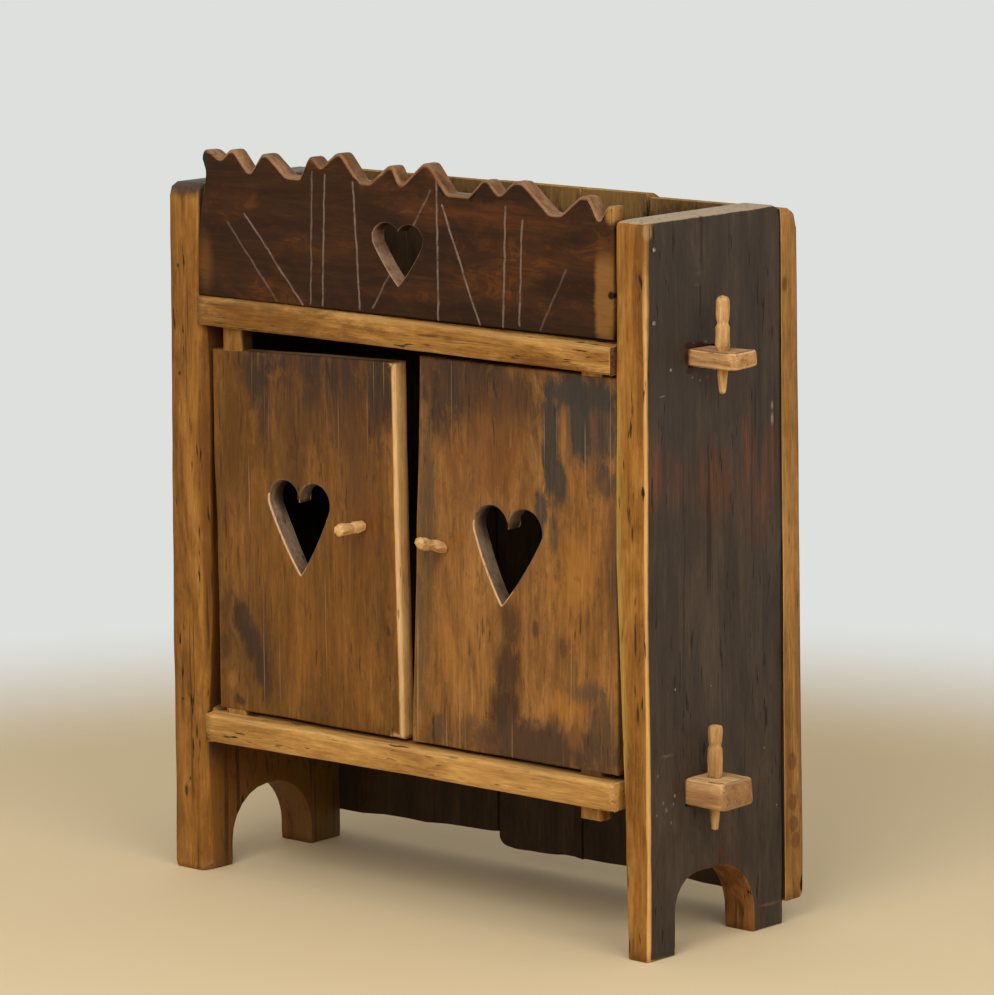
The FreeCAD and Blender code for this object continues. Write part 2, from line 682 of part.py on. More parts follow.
failed = [item.Name for item in doc.Objects if {"Invalid", "Error"} & set(item.State)]
unsound = [body.Label for body in bodies if body.Shape.isNull() or not body.Shape.isValid()]
if failed or unsound:
    raise RuntimeError(f"failed objects {failed}, unsound shapes {unsound}")
os.makedirs("parts", exist_ok=True)
for body in bodies:
    body.Shape.exportStep(f"parts/{body.Label}.step")
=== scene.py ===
import bmesh
import bpy
import numpy as np
from mathutils import Matrix


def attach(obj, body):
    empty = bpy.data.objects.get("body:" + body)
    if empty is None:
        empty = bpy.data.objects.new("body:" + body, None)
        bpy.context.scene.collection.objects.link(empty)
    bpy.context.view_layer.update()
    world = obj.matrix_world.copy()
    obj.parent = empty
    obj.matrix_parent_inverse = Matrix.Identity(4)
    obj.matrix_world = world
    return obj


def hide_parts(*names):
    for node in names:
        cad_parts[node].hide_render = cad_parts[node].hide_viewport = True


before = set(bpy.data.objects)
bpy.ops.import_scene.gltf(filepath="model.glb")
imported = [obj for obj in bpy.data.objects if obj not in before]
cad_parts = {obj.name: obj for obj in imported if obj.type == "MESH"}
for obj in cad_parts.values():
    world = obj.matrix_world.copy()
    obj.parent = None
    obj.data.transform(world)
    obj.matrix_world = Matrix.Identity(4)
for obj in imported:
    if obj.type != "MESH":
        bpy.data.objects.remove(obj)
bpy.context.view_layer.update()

# Side planks
# Two thick pine planks, sawn to an arch between two feet and mortised for the shelf tenons.
# Dark wax still covers their faces, and hands have rubbed the front edges back to honey.
FRONT = -0.10525
INSIDE, OUTSIDE = 0.289, 0.3315
SIDE_HEIGHT, SIDE_DEPTH = 0.750, 0.2175
FRONT_FOOT, REAR_FOOT = 0.043, 0.048
FOOT_LINE, CROWN, REAR_CURVE = 0.130, 0.081, 0.062
REAR_CORNER = ((205, 750), (214, 747), (217.5, 738))
# Each mortise: its near, far, lower and upper wall.
MORTISES = ((0.059, 0.109, 0.152, 0.182), (0.066, 0.109, 0.601, 0.621))
PLANK_LINES = np.array([0, 11, 17, 23, 30, 37, 44, 51, 59, 66, 75, 84, 93, 102, 109, 118, 127, 136, 145, 154,
                        163, 172, 181, 190, 199.5, 208.5, 217.5]) / 1000
ROUND_STEPS = 4
# An edge share above the first is the wall of a rim, and the second marks a wall as sawn.
ON_WALL, SAWN = 0.9, -1.0


def swell(points, seed, length):
    """Unevenness of hand work, about -1 to 1: eight cosine waves of seeded direction, pace and phase are
    added up, each about one length from crest to crest."""
    draw = np.random.default_rng(seed)
    turn, phase = draw.uniform(0, 2 * np.pi, (2, 8))
    pace = 2 * np.pi / (length * draw.uniform(0.6, 1.8, 8))
    across = points[..., 0, None] * np.cos(turn) + points[..., 1, None] * np.sin(turn)
    return np.cos(across * pace + phase).sum(-1) / 4


def cells_of(rows, columns, closed=False):
    """Corner numbers of the cells between the rows and columns of a grid. A closed grid's last column of
    cells ends on its first column."""
    number = np.arange(rows * columns).reshape(rows, columns)
    if closed:
        number = np.concatenate([number, number[:, :1]], 1)
    return np.stack([number[:-1, :-1], number[:-1, 1:], number[1:, 1:], number[1:, :-1]], -1).reshape(-1, 4)


def gridded(across, up):
    """Points and cells of a grid from the two places of each point, spread to one shape."""
    grid = np.stack(np.broadcast_arrays(across, up), -1)
    return grid.reshape(-1, 2), cells_of(*grid.shape[:2])


def joined(blocks):
    """One flat grid from blocks of points and cells: points that fall together become one point."""
    starts = np.cumsum([0] + [len(points) for points, cells in blocks])
    cells = np.concatenate([cells + start for (points, cells), start in zip(blocks, starts)])
    points = np.concatenate([points for points, cells in blocks])
    _, first, number = np.unique(np.round(points, 7), axis=0, return_index=True, return_inverse=True)
    return points[first], number.reshape(-1)[cells]


def board(face, cells, low, high, arris, seed, heave=0.0004, far_arris=None):
    """Closed skin of a board, as points (a, b, depth), cells, and how far each point is edge and arris.
    The flat face grid is laid at the depths low and high and drawn in along every rim by the arris, which may
    differ on the far side. Round each rim goes a profile: a quarter round, the flat of the edge, and a quarter
    round back. Slow waves heave the faces and vary the arris."""
    count = len(face)
    corner = face[cells]
    one, two = corner[:, 2] - corner[:, 0], corner[:, 3] - corner[:, 1]
    clockwise = one[:, 0] * two[:, 1] < one[:, 1] * two[:, 0]
    cells = np.where(clockwise[:, None], cells[:, ::-1], cells)
    borders = np.concatenate([cells[:, [k, (k + 1) % 4]] for k in range(4)])
    shared = np.isin(borders[:, 1] * count + borders[:, 0], borders[:, 0] * count + borders[:, 1])
    rim = borders[~shared]
    step = face[rim[:, 1]] - face[rim[:, 0]]
    outward = np.stack([step[:, 1], -step[:, 0]], -1) / np.linalg.norm(step, axis=1)[:, None]
    normal = np.zeros((count, 2))
    np.add.at(normal, rim[:, 0], outward)
    np.add.at(normal, rim[:, 1], outward)
    reach = np.linalg.norm(normal, axis=1)
    on_rim = reach > 1e-6
    normal[on_rim] /= reach[on_rim, None]
    uneven = np.where(on_rim, 1 + 0.15 * swell(face, seed, 0.07), 0)
    near_round, far_round = uneven * arris, uneven * (arris if far_arris is None else far_arris)
    near = low + heave * (1 + swell(face, seed + 1, 0.16))
    far = high - heave * (1 + swell(face, seed + 2, 0.16))
    ids = np.flatnonzero(on_rim)
    place = np.zeros(count, int)
    place[ids] = np.arange(len(ids))
    turn = np.linspace(0, np.pi / 2, ROUND_STEPS + 1)[1:, None]
    bow, dip = 1 - np.sin(turn), 1 - np.cos(turn)
    pull = np.concatenate([near_round[ids] * bow, np.zeros((1, len(ids))), far_round[ids] * bow[::-1]])
    depth = np.concatenate([near[ids] + near_round[ids] * dip, (near[ids] + far[ids])[None] / 2,
                            far[ids] - far_round[ids] * dip[::-1]])
    rings = np.concatenate([face[ids] - normal[ids] * pull[..., None], depth[..., None]], -1)
    near_face = np.column_stack([face - normal * near_round[:, None], near])
    far_face = np.column_stack([face - normal * far_round[:, None], far])
    points = np.concatenate([near_face, far_face, rings.reshape(-1, 3)])
    levels = 2 * count + np.arange(depth.size).reshape(depth.shape)
    levels = np.concatenate([ids[None], levels, ids[None] + count])
    a, b = place[rim].T
    strip = np.stack([levels[:-1, b], levels[:-1, a], levels[1:, a], levels[1:, b]], -1).reshape(-1, 4)
    # The arris share peaks halfway round each quarter round, worn wood and a painted highlight both.
    half = np.sin(2 * turn)
    worn = np.concatenate([half, np.zeros((1, 1)), half[::-1]]) * np.ones(len(ids))
    edge_share = np.concatenate([np.tile(on_rim * 0.6, 2), np.ones(depth.size)])
    arris_share = np.concatenate([np.tile(on_rim * 0.35, 2), worn.reshape(-1)])
    return points, np.concatenate([cells, cells[:, ::-1] + count, strip]), edge_share, arris_share


def laid(skin, order):
    """The same skin with its columns a, b and depth put on the axes that order names."""
    points = np.empty_like(skin[0])
    points[:, ["XYZ".index(axis) for axis in order]] = skin[0]
    return (points,) + tuple(skin[1:])


def make(name, skins, finishes, body, nodes):
    """One piece from closed skins, the first with the first finish and so on, on its body in place of its
    CAD nodes. Points that fall together at poles become one, and faces turn outwards."""
    starts = np.cumsum([0] + [len(skin[0]) for skin in skins])
    mesh = bpy.data.meshes.new(name)
    mesh.from_pydata(np.concatenate([skin[0] for skin in skins]).tolist(), [],
                     np.concatenate([skin[1] + start for skin, start in zip(skins, starts)]).tolist())
    for column, share in ((2, "edge"), (3, "arris")):
        values = np.concatenate([skin[column] for skin in skins]).astype(np.float32)
        mesh.attributes.new(share, "FLOAT", "POINT").data.foreach_set("value", values)
    kinds = list(dict.fromkeys(finishes))
    for finish in kinds:
        mesh.materials.append(finish)
    which = np.repeat([kinds.index(finish) for finish in finishes], [len(skin[1]) for skin in skins])
    mesh.polygons.foreach_set("material_index", which.astype(np.int32))
    mesh.polygons.foreach_set("use_smooth", np.ones(len(mesh.polygons), bool))
    shell = bmesh.new()
    shell.from_mesh(mesh)
    bmesh.ops.remove_doubles(shell, verts=shell.verts, dist=1e-7)
    bmesh.ops.recalc_face_normals(shell, faces=shell.faces)
    shell.to_mesh(mesh)
    shell.free()
    piece = bpy.data.objects.new(name, mesh)
    bpy.context.scene.collection.objects.link(piece)
    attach(piece, body)
    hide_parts(*nodes)


def colour(red, green, blue):
    """A colour as a screen shows it, 0 to 255, turned to linear light."""
    shown = np.array([red, green, blue]) / 255
    light = np.where(shown <= 0.04045, shown / 12.92, ((shown + 0.055) / 1.055) ** 2.4)
    return tuple(float(part) for part in light) + (1.0,)


def blank(owner):
    """The node tree of a material or of the world, emptied."""
    owner.use_nodes = True
    owner.node_tree.nodes.clear()
    return owner.node_tree


def add(tree, kind, sockets=(), **settings):
    """One node of a finish. A socket's value that is an output of another node is linked, else it is set."""
    made = tree.nodes.new("ShaderNode" + kind)
    for key, value in settings.items():
        setattr(made, key, value)
    for key, value in dict(sockets).items():
        if isinstance(value, bpy.types.NodeSocket):
            tree.links.new(value, made.inputs[key])
        else:
            made.inputs[key].default_value = value
    return made


def reckon(tree, way, *parts):
    """One sum of numbers."""
    return add(tree, "Math", enumerate(parts), operation=way).outputs[0]


def steer(tree, way, *parts):
    """One sum of vectors, which gives a number if it is a length, a distance or a dot product."""
    made = add(tree, "VectorMath", enumerate(parts), operation=way)
    return made.outputs[1 if way in ("LENGTH", "DISTANCE", "DOT_PRODUCT") else 0]


def noise(tree, place, **sockets):
    """Noise at a place, as a number and as a vector."""
    return add(tree, "TexNoise", {"Vector": place, **sockets}).outputs


def ease(tree, value, start, end, low=0.0, high=1.0):
    """A smooth step: low where value is at start, high where it is at end."""
    return add(tree, "MapRange", {0: value, 1: start, 2: end, 3: low, 4: high},
               interpolation_type="SMOOTHSTEP").outputs[0]


def over(tree, share, under, upper, way="MIX"):
    """A share of the upper colour, as a screen shows it or from a node, laid over the under one."""
    upper = colour(*upper) if isinstance(upper, tuple) else upper
    return add(tree, "Mix", {0: share, 6: under, 7: upper}, data_type="RGBA", blend_type=way).outputs[2]


def tones_by(tree, value, places, tones):
    """Colours that follow a value, each tone at its place."""
    made = add(tree, "ValToRGB", {0: value})
    stops = made.color_ramp.elements
    stops[0].position, stops[0].color = places[0], colour(*tones[0])
    stops[1].position, stops[1].color = places[-1], colour(*tones[-1])
    for place, tone in zip(places[1:-1], tones[1:-1]):
        stops.new(place).color = colour(*tone)
    return made.outputs[0]


def blot(centre, reach, tone, strength, core=0.4, rag=1.0, veined=0.0, square=False):
    """A mark on a finish: full inside the core share of its reach and gone at its reach. Rag tears its rim,
    and veined lets the grain break it up. It is round unless it is square. Lengths are millimetres, and depth
    is counted from the fronts of the sides."""
    place = np.array(centre) / 1000 + (0, FRONT, 0)
    return place, np.array(reach) / 1000, tone, strength, core, rag, veined, square


def grime_and_painted_light(tree, spot, torn, tatter, stripe, under, marks):
    """Marks laid over a finish: stains, wear and dust, and also painted light and shade. The share falls with
    the distance from the mark's centre, counted in its reach on each axis; a square mark takes the squares of
    these counts. Noise moves the rim and tatters it."""
    for centre, reach, tone, strength, core, rag, veined, square in marks:
        moved = steer(tree, "MULTIPLY_ADD", torn, (rag, rag, rag), spot)
        scaled = steer(tree, "MULTIPLY_ADD", moved, (1 / reach).tolist(), (-centre / reach).tolist())
        if square:
            scaled = steer(tree, "MULTIPLY", scaled, scaled)
        away = reckon(tree, "MULTIPLY_ADD", tatter, 2.2 * min(rag, 1.0), steer(tree, "LENGTH", scaled))
        share = ease(tree, away, 1.0, core, 0.0, strength)
        if veined:
            share = reckon(tree, "MULTIPLY", share, ease(tree, stripe, 0.44, 0.57, 1 - veined, 1.0))
        under = over(tree, share, under, tone)
    return under


def waxed_wood(name, grain, tones, rubbed, crest, smoke, smoke_share=0.5, sawn=None, rub=(0.35, 0.8),
               crest_share=0.7, pits=0.6, pit_scale=210.0, polish=0.5, shine=0.16, figure=26.0, tear=0.02,
               mottled=0.35, clefts=0.0, hairs=0.0, grainy=0.7, marks=(), late_marks=(), shift=(0, 0, 0),
               lines=None):
    """Old waxed wood. Noise drawn out along the grain gives a broad figure, mottling, narrow stripes and fine
    fibres. Together they pick among the face's tones, and smoky clouds lie over these. The rubbed tones show
    where the edge share is high, the crest tone where the arris is worn, and the sawn tones where the edge
    share is below nought. The pale crest is worn wood and also a painted highlight along the arris. Dark
    pits, long clefts and pale hairs run along the grain. Marks come before the wear, late ones after, and
    some of them are painted light and shade."""
    finish = bpy.data.materials.new(name)
    tree = blank(finish)
    spot = add(tree, "TexCoord").outputs["Object"]
    place = add(tree, "Mapping", {"Vector": spot, "Location": shift}).outputs[0]

    def drawn(share, **sockets):
        """Noise whose pattern is drawn out along the grain."""
        scale = [share if axis == grain else 1.0 for axis in "XYZ"]
        return noise(tree, add(tree, "Mapping", {"Vector": place, "Scale": scale}).outputs[0], **sockets)

    broad, broad_way = drawn(0.17, Scale=figure, Detail=8, Roughness=0.68, Distortion=0.8)
    clouds, cloud_way = drawn(0.45, Scale=9, Detail=9, Roughness=0.7, Distortion=0.4)
    stripe = drawn(0.045, Scale=190, Detail=6, Roughness=0.7, Distortion=0.3)[0]
    fibres = drawn(0.06, Scale=620, Detail=3, Roughness=0.6)[0]
    mottle = drawn(0.4, Scale=80, Detail=7, Roughness=0.75, Distortion=0.6)[0]
    reach = [tear * (2.5 if axis == grain else 1.0) for axis in "XYZ"]
    torn = steer(tree, "MULTIPLY_ADD", steer(tree, "ADD", broad_way, cloud_way), reach, [-r for r in reach])
    tatter = reckon(tree, "SUBTRACT", mottle, 0.5)
    body = reckon(tree, "MULTIPLY_ADD", broad, 0.54, reckon(tree, "MULTIPLY", stripe, 0.24))
    body = reckon(tree, "MULTIPLY_ADD", mottle, 0.22, body)
    steps = (0.41, 0.5, 0.59)
    wood = tones_by(tree, body, steps, tones)
    wood = over(tree, ease(tree, clouds, 0.48, 0.62, 0.0, smoke_share), wood, smoke)
    wood = over(tree, ease(tree, mottle, 0.52, 0.64, 0.0, mottled), wood, smoke)
    wood = over(tree, ease(tree, mottle, 0.46, 0.34, 0.0, mottled), wood, tones[2])
    wood = grime_and_painted_light(tree, spot, torn, tatter, stripe, wood, marks)
    edge = add(tree, "Attribute", attribute_name="edge").outputs["Fac"]
    arris = add(tree, "Attribute", attribute_name="arris").outputs["Fac"]
    uneven = reckon(tree, "MULTIPLY_ADD", clouds, 0.9, -0.45)
    bare = tones_by(tree, body, steps, rubbed)
    wood = over(tree, ease(tree, reckon(tree, "ADD", edge, uneven), *rub), wood, bare)
    if sawn is not None:
        cut_face = tones_by(tree, body, (0.40, 0.5, 0.61), sawn)
        wood = over(tree, ease(tree, edge, -0.5, -0.85), wood, cut_face)
    crested = ease(tree, reckon(tree, "ADD", arris, uneven), 0.35, 1.0, 0.0, crest_share)
    wood = over(tree, crested, wood, crest)
    wood = grime_and_painted_light(tree, spot, torn, tatter, stripe, wood, late_marks)
    if hairs:
        hair = drawn(0.012, Scale=300, Detail=1)[0]
        wood = over(tree, ease(tree, hair, 0.70, 0.78, 0.0, hairs), wood, crest)
    cut = 0.0
    if lines is not None:
        wood, cut = lines(tree, spot, wood)
    grained = ease(tree, fibres, 0.3, 0.72, 1 - 0.28 * grainy, 1 + 0.22 * grainy)
    wood = over(tree, 1.0, wood, grained, "MULTIPLY")
    spots = drawn(0.14, Scale=pit_scale, Detail=2)[0]
    where = drawn(0.3, Scale=30, Detail=3)[0]
    hole = reckon(tree, "MULTIPLY", ease(tree, spots, 0.61, 0.69), ease(tree, where, 0.44, 0.58, 0.0, pits))
    if clefts:
        cleft = drawn(0.03, Scale=130, Detail=3, Distortion=0.3)[0]
        hole = reckon(tree, "MAXIMUM", hole, ease(tree, cleft, 0.62, 0.70, 0.0, clefts))
    wood = over(tree, hole, wood, (40, 24, 12))
    height = reckon(tree, "SUBTRACT", reckon(tree, "MULTIPLY", fibres, 0.4 * grainy), hole)
    height = reckon(tree, "SUBTRACT", reckon(tree, "ADD", height, body), cut)
    bump = add(tree, "Bump", {"Strength": 0.35, "Distance": 0.0010, "Height": height}).outputs[0]
    dull = reckon(tree, "ADD", clouds, reckon(tree, "MULTIPLY", fibres, 0.5))
    rough = ease(tree, dull, 0.5, 1.0, polish - 0.1, polish + 0.15)
    shader = add(tree, "BsdfPrincipled", {"Base Color": wood, "Roughness": rough, "Normal": bump,
                                          "Specular IOR Level": shine})
    add(tree, "OutputMaterial", {"Surface": shader.outputs[0]})
    return finish


def plank_face(curve, corner):
    """Face of a side plank in (depth, height). Two feet are plain grids. Above them, lines fan up from the
    arch, a straight crown between a quarter round of the given curve and a large one, to the foot line. They
    go on straight to the worn top corners, of which the front one is given. Cells in the mortises are left
    out."""
    part = np.linspace
    small, large = np.radians(part(180, 90, 7))[1:], np.radians(part(90, 0, 12))[1:]
    spring, rear_spring = CROWN - curve, CROWN - REAR_CURVE
    rear = SIDE_DEPTH - REAR_FOOT
    middle = rear - REAR_CURVE
    arch_y = np.concatenate([[0, 0.021, FRONT_FOOT], FRONT_FOOT + curve + curve * np.cos(small),
                             part(FRONT_FOOT + curve, middle, 4)[1:], middle + REAR_CURVE * np.cos(large),
                             part(rear, SIDE_DEPTH, 5)[1:]])
    arch_z = np.concatenate([[spring] * 3, spring + curve * np.sin(small), [CROWN] * 3,
                             rear_spring + REAR_CURVE * np.sin(large), [rear_spring] * 4])
    climb = np.array([0, 0.14, 0.28, 0.42, 0.57, 0.72, 0.86, 1])[:, None]
    levels = np.concatenate([[FOOT_LINE, 0.141, 0.152, 0.167, 0.182, 0.194], part(0.206, 0.589, 26),
                             [0.601, 0.611, 0.621], part(0.634, 0.726, 7), [SIDE_HEIGHT]])
    upright = np.stack(np.broadcast_arrays(PLANK_LINES, levels[:, None]), -1)
    upright[-1, [0, 1, 2, -3, -2, -1]] = np.array(corner + REAR_CORNER) / 1000
    y, z = (upright[:-1, :-1] + 0.001).transpose(2, 0, 1)
    solid = np.ones(y.shape, bool)
    for near, far, low, high in MORTISES:
        solid &= (y < near) | (y > far) | (z < low) | (z > high)
    return joined([gridded(arch_y + (PLANK_LINES - arch_y) * climb, arch_z + (FOOT_LINE - arch_z) * climb),
                   (upright.reshape(-1, 2), cells_of(*upright.shape[:2])[solid.reshape(-1)]),
                   gridded(arch_y[:3], part(0, spring, 5)[:, None]),
                   gridded(arch_y[-5:], part(0, rear_spring, 3)[:, None])])


def side_plank(curve, corner, seed, low, high, low_arris, high_arris, lean, wear):
    """Skin of a side plank. The functions low and high give its faces, the arris functions its front arris
    against each, and lean how far its front and top stand out, all from the depth and height of a point. The
    front keeps its rubbed edge, which ends at the faces, the other edges keep none, and the walls of the arch
    are marked as sawn. The function wear says how much of the arris is rubbed bare and shows the pale crest,
    which is worn wood and also a painted highlight."""
    face, cells = plank_face(curve, corner)
    y, z = face.T
    in_mortise = (y > 0.055) & (y < 0.112) & (z > 0.15) & (z < 0.63)
    fine = np.select([in_mortise, z > 0.73, z < 0.002], [0.0008, 0.0022, 0.0035], 0.0016)
    fore = y < 0.012
    bow = 0.0008 * (1 + swell(face, 11, 0.25)) * np.clip(1 - y / 0.05, 0, 1)
    placed = face + np.column_stack([bow + FRONT, 0 * z]) + np.column_stack(lean(y, z))
    skin = board(placed, cells, low(y, z), high(y, z), np.where(fore, low_arris(z), fine), seed,
                 far_arris=np.where(fore, high_arris(z), fine))
    points, cells, edge, arris = laid(skin, "YZX")
    x, y, z = (points - (0, FRONT, 0)).T
    keep = np.clip((0.018 - y) / 0.010, 0, 1)
    arch = (y > 0.036) & (y < 0.178) & (z < 0.0815) & (edge > ON_WALL)
    rubbed = np.where(edge < ON_WALL, 0.3, 1.0) * edge * keep
    return points, cells, np.where(arch, SAWN, rubbed), arris * keep * wear(x, z)


def rise(z, start, end):
    """Smooth step from nought at the height start to one at the height end."""
    share = np.clip((z - start) / (end - start), 0, 1)
    return share * share * (3 - 2 * share)


EMBER, CHIP, DUST = (118, 66, 43), (176, 162, 140), (182, 158, 126)
# Reddish patches high on the right plank: depth, height, their reach each way, and strength.
side_marks = [blot((330, y, z), (50, w, h), EMBER, share, 0.1, 0.6, 0.7) for y, z, w, h, share in (
    (12, 505, 16, 65, 0.9), (45, 495, 24, 55, 0.5), (110, 480, 55, 55, 0.5), (163, 505, 16, 65, 0.8),
    (200, 495, 16, 65, 1.0), (175, 445, 45, 55, 0.5))]
# Greyer wax at the front of the right plank, and warmer tones inside the left one and at its feet.
side_marks += [
    blot((330, 35.25, 620), (50, 80, 150), (56, 50, 44), 0.5, 0.3),
    blot((330, 28, 170), (50, 24, 55), (92, 78, 66), 0.35, 0.2),
    blot((-290, 85.25, 50), (30, 130, 130), (120, 78, 31), 0.9),
    blot((-290, 205.25, 30), (30, 40, 80), (104, 76, 38), 0.85, 0.6),
    blot((-283, 15.25, 400), (12, 70, 450), (96, 58, 24), 0.9, 0.7),
    blot((-285, 10, 60), (20, 30, 100), (136, 89, 36), 0.85, 0.3, 0.4)]
# Dust on the tops, a worn inner edge on the left, and dirt under the left top corner. A browner tone in the
# left arch, and painted shade under the crown of the right arch.
side_late = [
    blot((310, 105.25, 756), (80, 400, 5.6), DUST, 0.88, 0.8, 0.06),
    blot((-310, 105.25, 756), (60, 300, 11), (98, 84, 68), 0.85, 0.6, 0.1, 0.5),
    blot((-310, 10.25, 754), (50, 50, 23), (70, 56, 44), 0.9, 0.5, 0.25),
    blot((-283, 0, 360), (7.5, 12, 340), (104, 62, 20), 0.8, 0.3, 0.1),
    blot((-298, 170.25, 45), (30, 50, 70), (112, 78, 34), 0.85, 0.7),
    blot((310, 115.25, 82), (40, 50, 30), (76, 38, 12), 0.75, 0.3)]
# A pale line down the inner front edge of the right plank, and dark nicks in both fronts.
side_late += [blot((x, 0, z), (6.5, 20, 75), (172, 142, 68), 0.6, 0.4, 0.05) for x, z in (
    (290, 530), (290.5, 450), (291.5, 370), (294, 300), (296.5, 235))]
side_late += [blot((x, 0, z), (w, 20, h), (52, 28, 13), 0.85, 0.3, 0.12) for x, z, w, h in (
    (-301, 154, 2.2, 11), (-321, 187, 3.5, 2), (-319, 661, 3, 3), (-319, 545, 3, 3), (-318, 86, 3.5, 10),
    (-303.5, 240, 0.8, 90), (-306, 600, 0.8, 50), (-312, 100, 2, 4), (313, 330, 2.2, 26), (315, 255, 2.8, 16),
    (310, 440, 2, 12))]
# Pale chips, dull scrapes, and a dark ragged rim round the upper mortise, painted shade of its gap, all on
# the outside of the right plank.
side_late += [blot((331, y, z), (12, w, h), CHIP, share, 0.3, 0.05) for y, z, w, h, share in (
    (38, 602, 2.4, 2.4, 0.8), (25, 577, 7.0, 1.2, 0.35), (72, 591, 1.8, 2.2, 0.4), (84, 587, 2.4, 2.6, 0.4),
    (97, 589, 1.3, 1.8, 0.3), (75, 625, 2.4, 1.6, 0.4), (94, 625, 3.4, 2.2, 0.4), (203, 547, 3.0, 6.5, 0.5),
    (203, 533, 3.5, 9.5, 0.55), (43, 276, 1.8, 2.2, 0.7), (100, 271, 1.2, 1.4, 0.5), (42, 167, 2.6, 3.0, 0.4),
    (16, 191, 1.6, 2.0, 0.3), (24, 162, 2.0, 3.0, 0.3), (29, 154, 3.0, 3.6, 0.25), (40, 159, 1.8, 3.0, 0.3),
    (14, 151, 1.6, 2.0, 0.3), (36, 140, 1.8, 2.6, 0.25), (46, 52, 1.2, 1.4, 0.5), (42, 7, 1.6, 1.6, 0.6),
    (208, 128, 1.4, 1.6, 0.5), (188, 192, 1.4, 1.6, 0.4))]
side_late += [blot((331, y, z), (12, w, h), (118, 92, 74), share, 0.1, 0.12) for y, z, w, h, share in (
    (30, 210, 14, 2.4, 0.6), (106, 308, 1.4, 24, 0.35), (83, 695, 10, 3, 0.3), (81, 684, 9, 2.6, 0.3),
    (196, 25, 26, 2.6, 0.55))]
side_late += [blot((331, y, z), (12, w, h), (54, 20, 12), 0.95, 0.5, 0.2) for y, z, w, h in (
    (66, 623, 9, 6), (63, 612, 5, 11), (84, 624, 16, 4), (68, 599, 9, 5))]
# A pale top corner, and pale rims under the feet of the right plank.
side_late += [
    blot((329, 2, 743), (10, 12, 12), (158, 124, 82), 0.8, 0.4, 0.2),
    blot((310, 22, -1.5), (50, 30, 5), (176, 146, 96), 0.6, 0.3, 0.1),
    blot((340, 196, -1), (30, 30, 4), (118, 96, 74), 0.5, 0.3, 0.1)]
side_wax = waxed_wood(
    "side_wax", "Z", tones=((54, 44, 36), (66, 54, 44), (80, 66, 53)),
    rubbed=((112, 70, 25), (144, 95, 37), (170, 119, 54)), crest=(218, 168, 100), smoke=(54, 45, 38),
    sawn=((82, 46, 17), (116, 71, 29), (146, 97, 48)), crest_share=0.9, marks=side_marks,
    late_marks=side_late, pits=1.0, clefts=0.6, grainy=0.5)
# The left plank leans out at its foot, and its inner face swells between the shelves.
left_skin = side_plank(
    0.055, ((0, 736), (3.4, 746), (13, 750)), 21,
    low=lambda y, z: -OUTSIDE - 0.005 * (1 - z / SIDE_HEIGHT),
    high=lambda y, z: -INSIDE + 0.0085 * rise(z, 0.15, 0.28) * rise(z, 0.66, 0.56),
    low_arris=lambda z: 0.0034 + 0.0035 * (z < 0.003),
    high_arris=lambda z: 0.0085 - 0.004 * rise(z, 0.60, 0.68) + 0.005 * rise(z, 0.10, 0.03) * (z > 0.003),
    lean=lambda y, z: (0 * y, 0 * z),
    wear=lambda x, z: 0.15 + 0.5 * rise(z, 0.64, 0.70))
# The right plank is cut away inside at its foot and hollowed outside. Its front and top stand out a little.
right_skin = side_plank(
    0.036, ((0, 745), (1.6, 749), (7, 750)), 31,
    low=lambda y, z: 0.2865 + 0.0135 * np.clip(1 - z / 0.42, 0, 1) * (1 - 3 * y),
    high=lambda y, z: OUTSIDE - (0.002 + 0.003 * z / SIDE_HEIGHT) * np.clip(1 - 6 * y, 0, 1)
    + (0.002 - 0.008 * z / SIDE_HEIGHT) * np.clip(y / SIDE_DEPTH, 0, 1),
    low_arris=lambda z: 0.0050 + 0 * z,
    high_arris=lambda z: 0.0045 + 0.0025 * rise(z, 0.50, 0.74),
    lean=lambda y, z: (-0.0025 * np.clip((z - 0.25) / 0.15, 0, 1) * np.clip(1 - y / 0.05, 0, 1),
                       0.0025 * np.clip(z / 0.05 - 14, 0, 1)),
    wear=lambda x, z: np.where(x > 0.310, 1.0, 0.3 + 0.9 * rise(z, 0.15, 0.20) * rise(z, 0.62, 0.50))
    * (1 - 0.4 * rise(z, 0.64, 0.73)))
make("left_side_plank", [left_skin], [side_wax], "carcass", ["side_left"])
make("right_side_plank", [right_skin], [side_wax], "carcass", ["side_right"])

# Shelves
# Two pine planks with a hewn, rounded front edge that stands out past the sides. A tenon at each end goes
# through the side and is bored upright for its peg.
SHELF_BACK = FRONT + SIDE_DEPTH
PEG_LINE, PEG_HOLE = 0.084, 0.0065
TENON_MIDDLE = FRONT + PEG_LINE


def shelf_face(seed, ends, overhang, bevel):
    """Face of a shelf in (width, depth): rows run to the back from the front line, which stands out by the
    overhangs at the left and right and wanders by slow waves. It ends at the two ends given, the right one
    worn back by the bevel, and the back ends at the sides."""
    share = np.concatenate([np.linspace(0, 0.980, 59), [0.986, 0.991, 0.995, 0.998, 1]])
    back = np.array([0, 0.046, 0.08, 0.12, 0.2, 0.35, 0.5, 0.65, 0.8, 0.9, 1])[:, None]
    body = -INSIDE + 2 * INSIDE * share
    nose = ends[0] + (ends[1] - ends[0]) * share
    front = FRONT - overhang[0] - (overhang[1] - overhang[0]) * share
    wander = np.column_stack([body, 0 * body])
    front = front + 0.0006 * (1 + swell(wander, seed, 0.09)) + 0.0004 * (1 + swell(wander, seed + 1, 0.03))
    front = front + bevel * np.clip((share - 0.980) / 0.020, 0, 1) ** 2
    across = nose + (body - nose) * np.clip(back / 0.046 - 1, 0, 1)
    return gridded(across, front + (SHELF_BACK - front) * back)


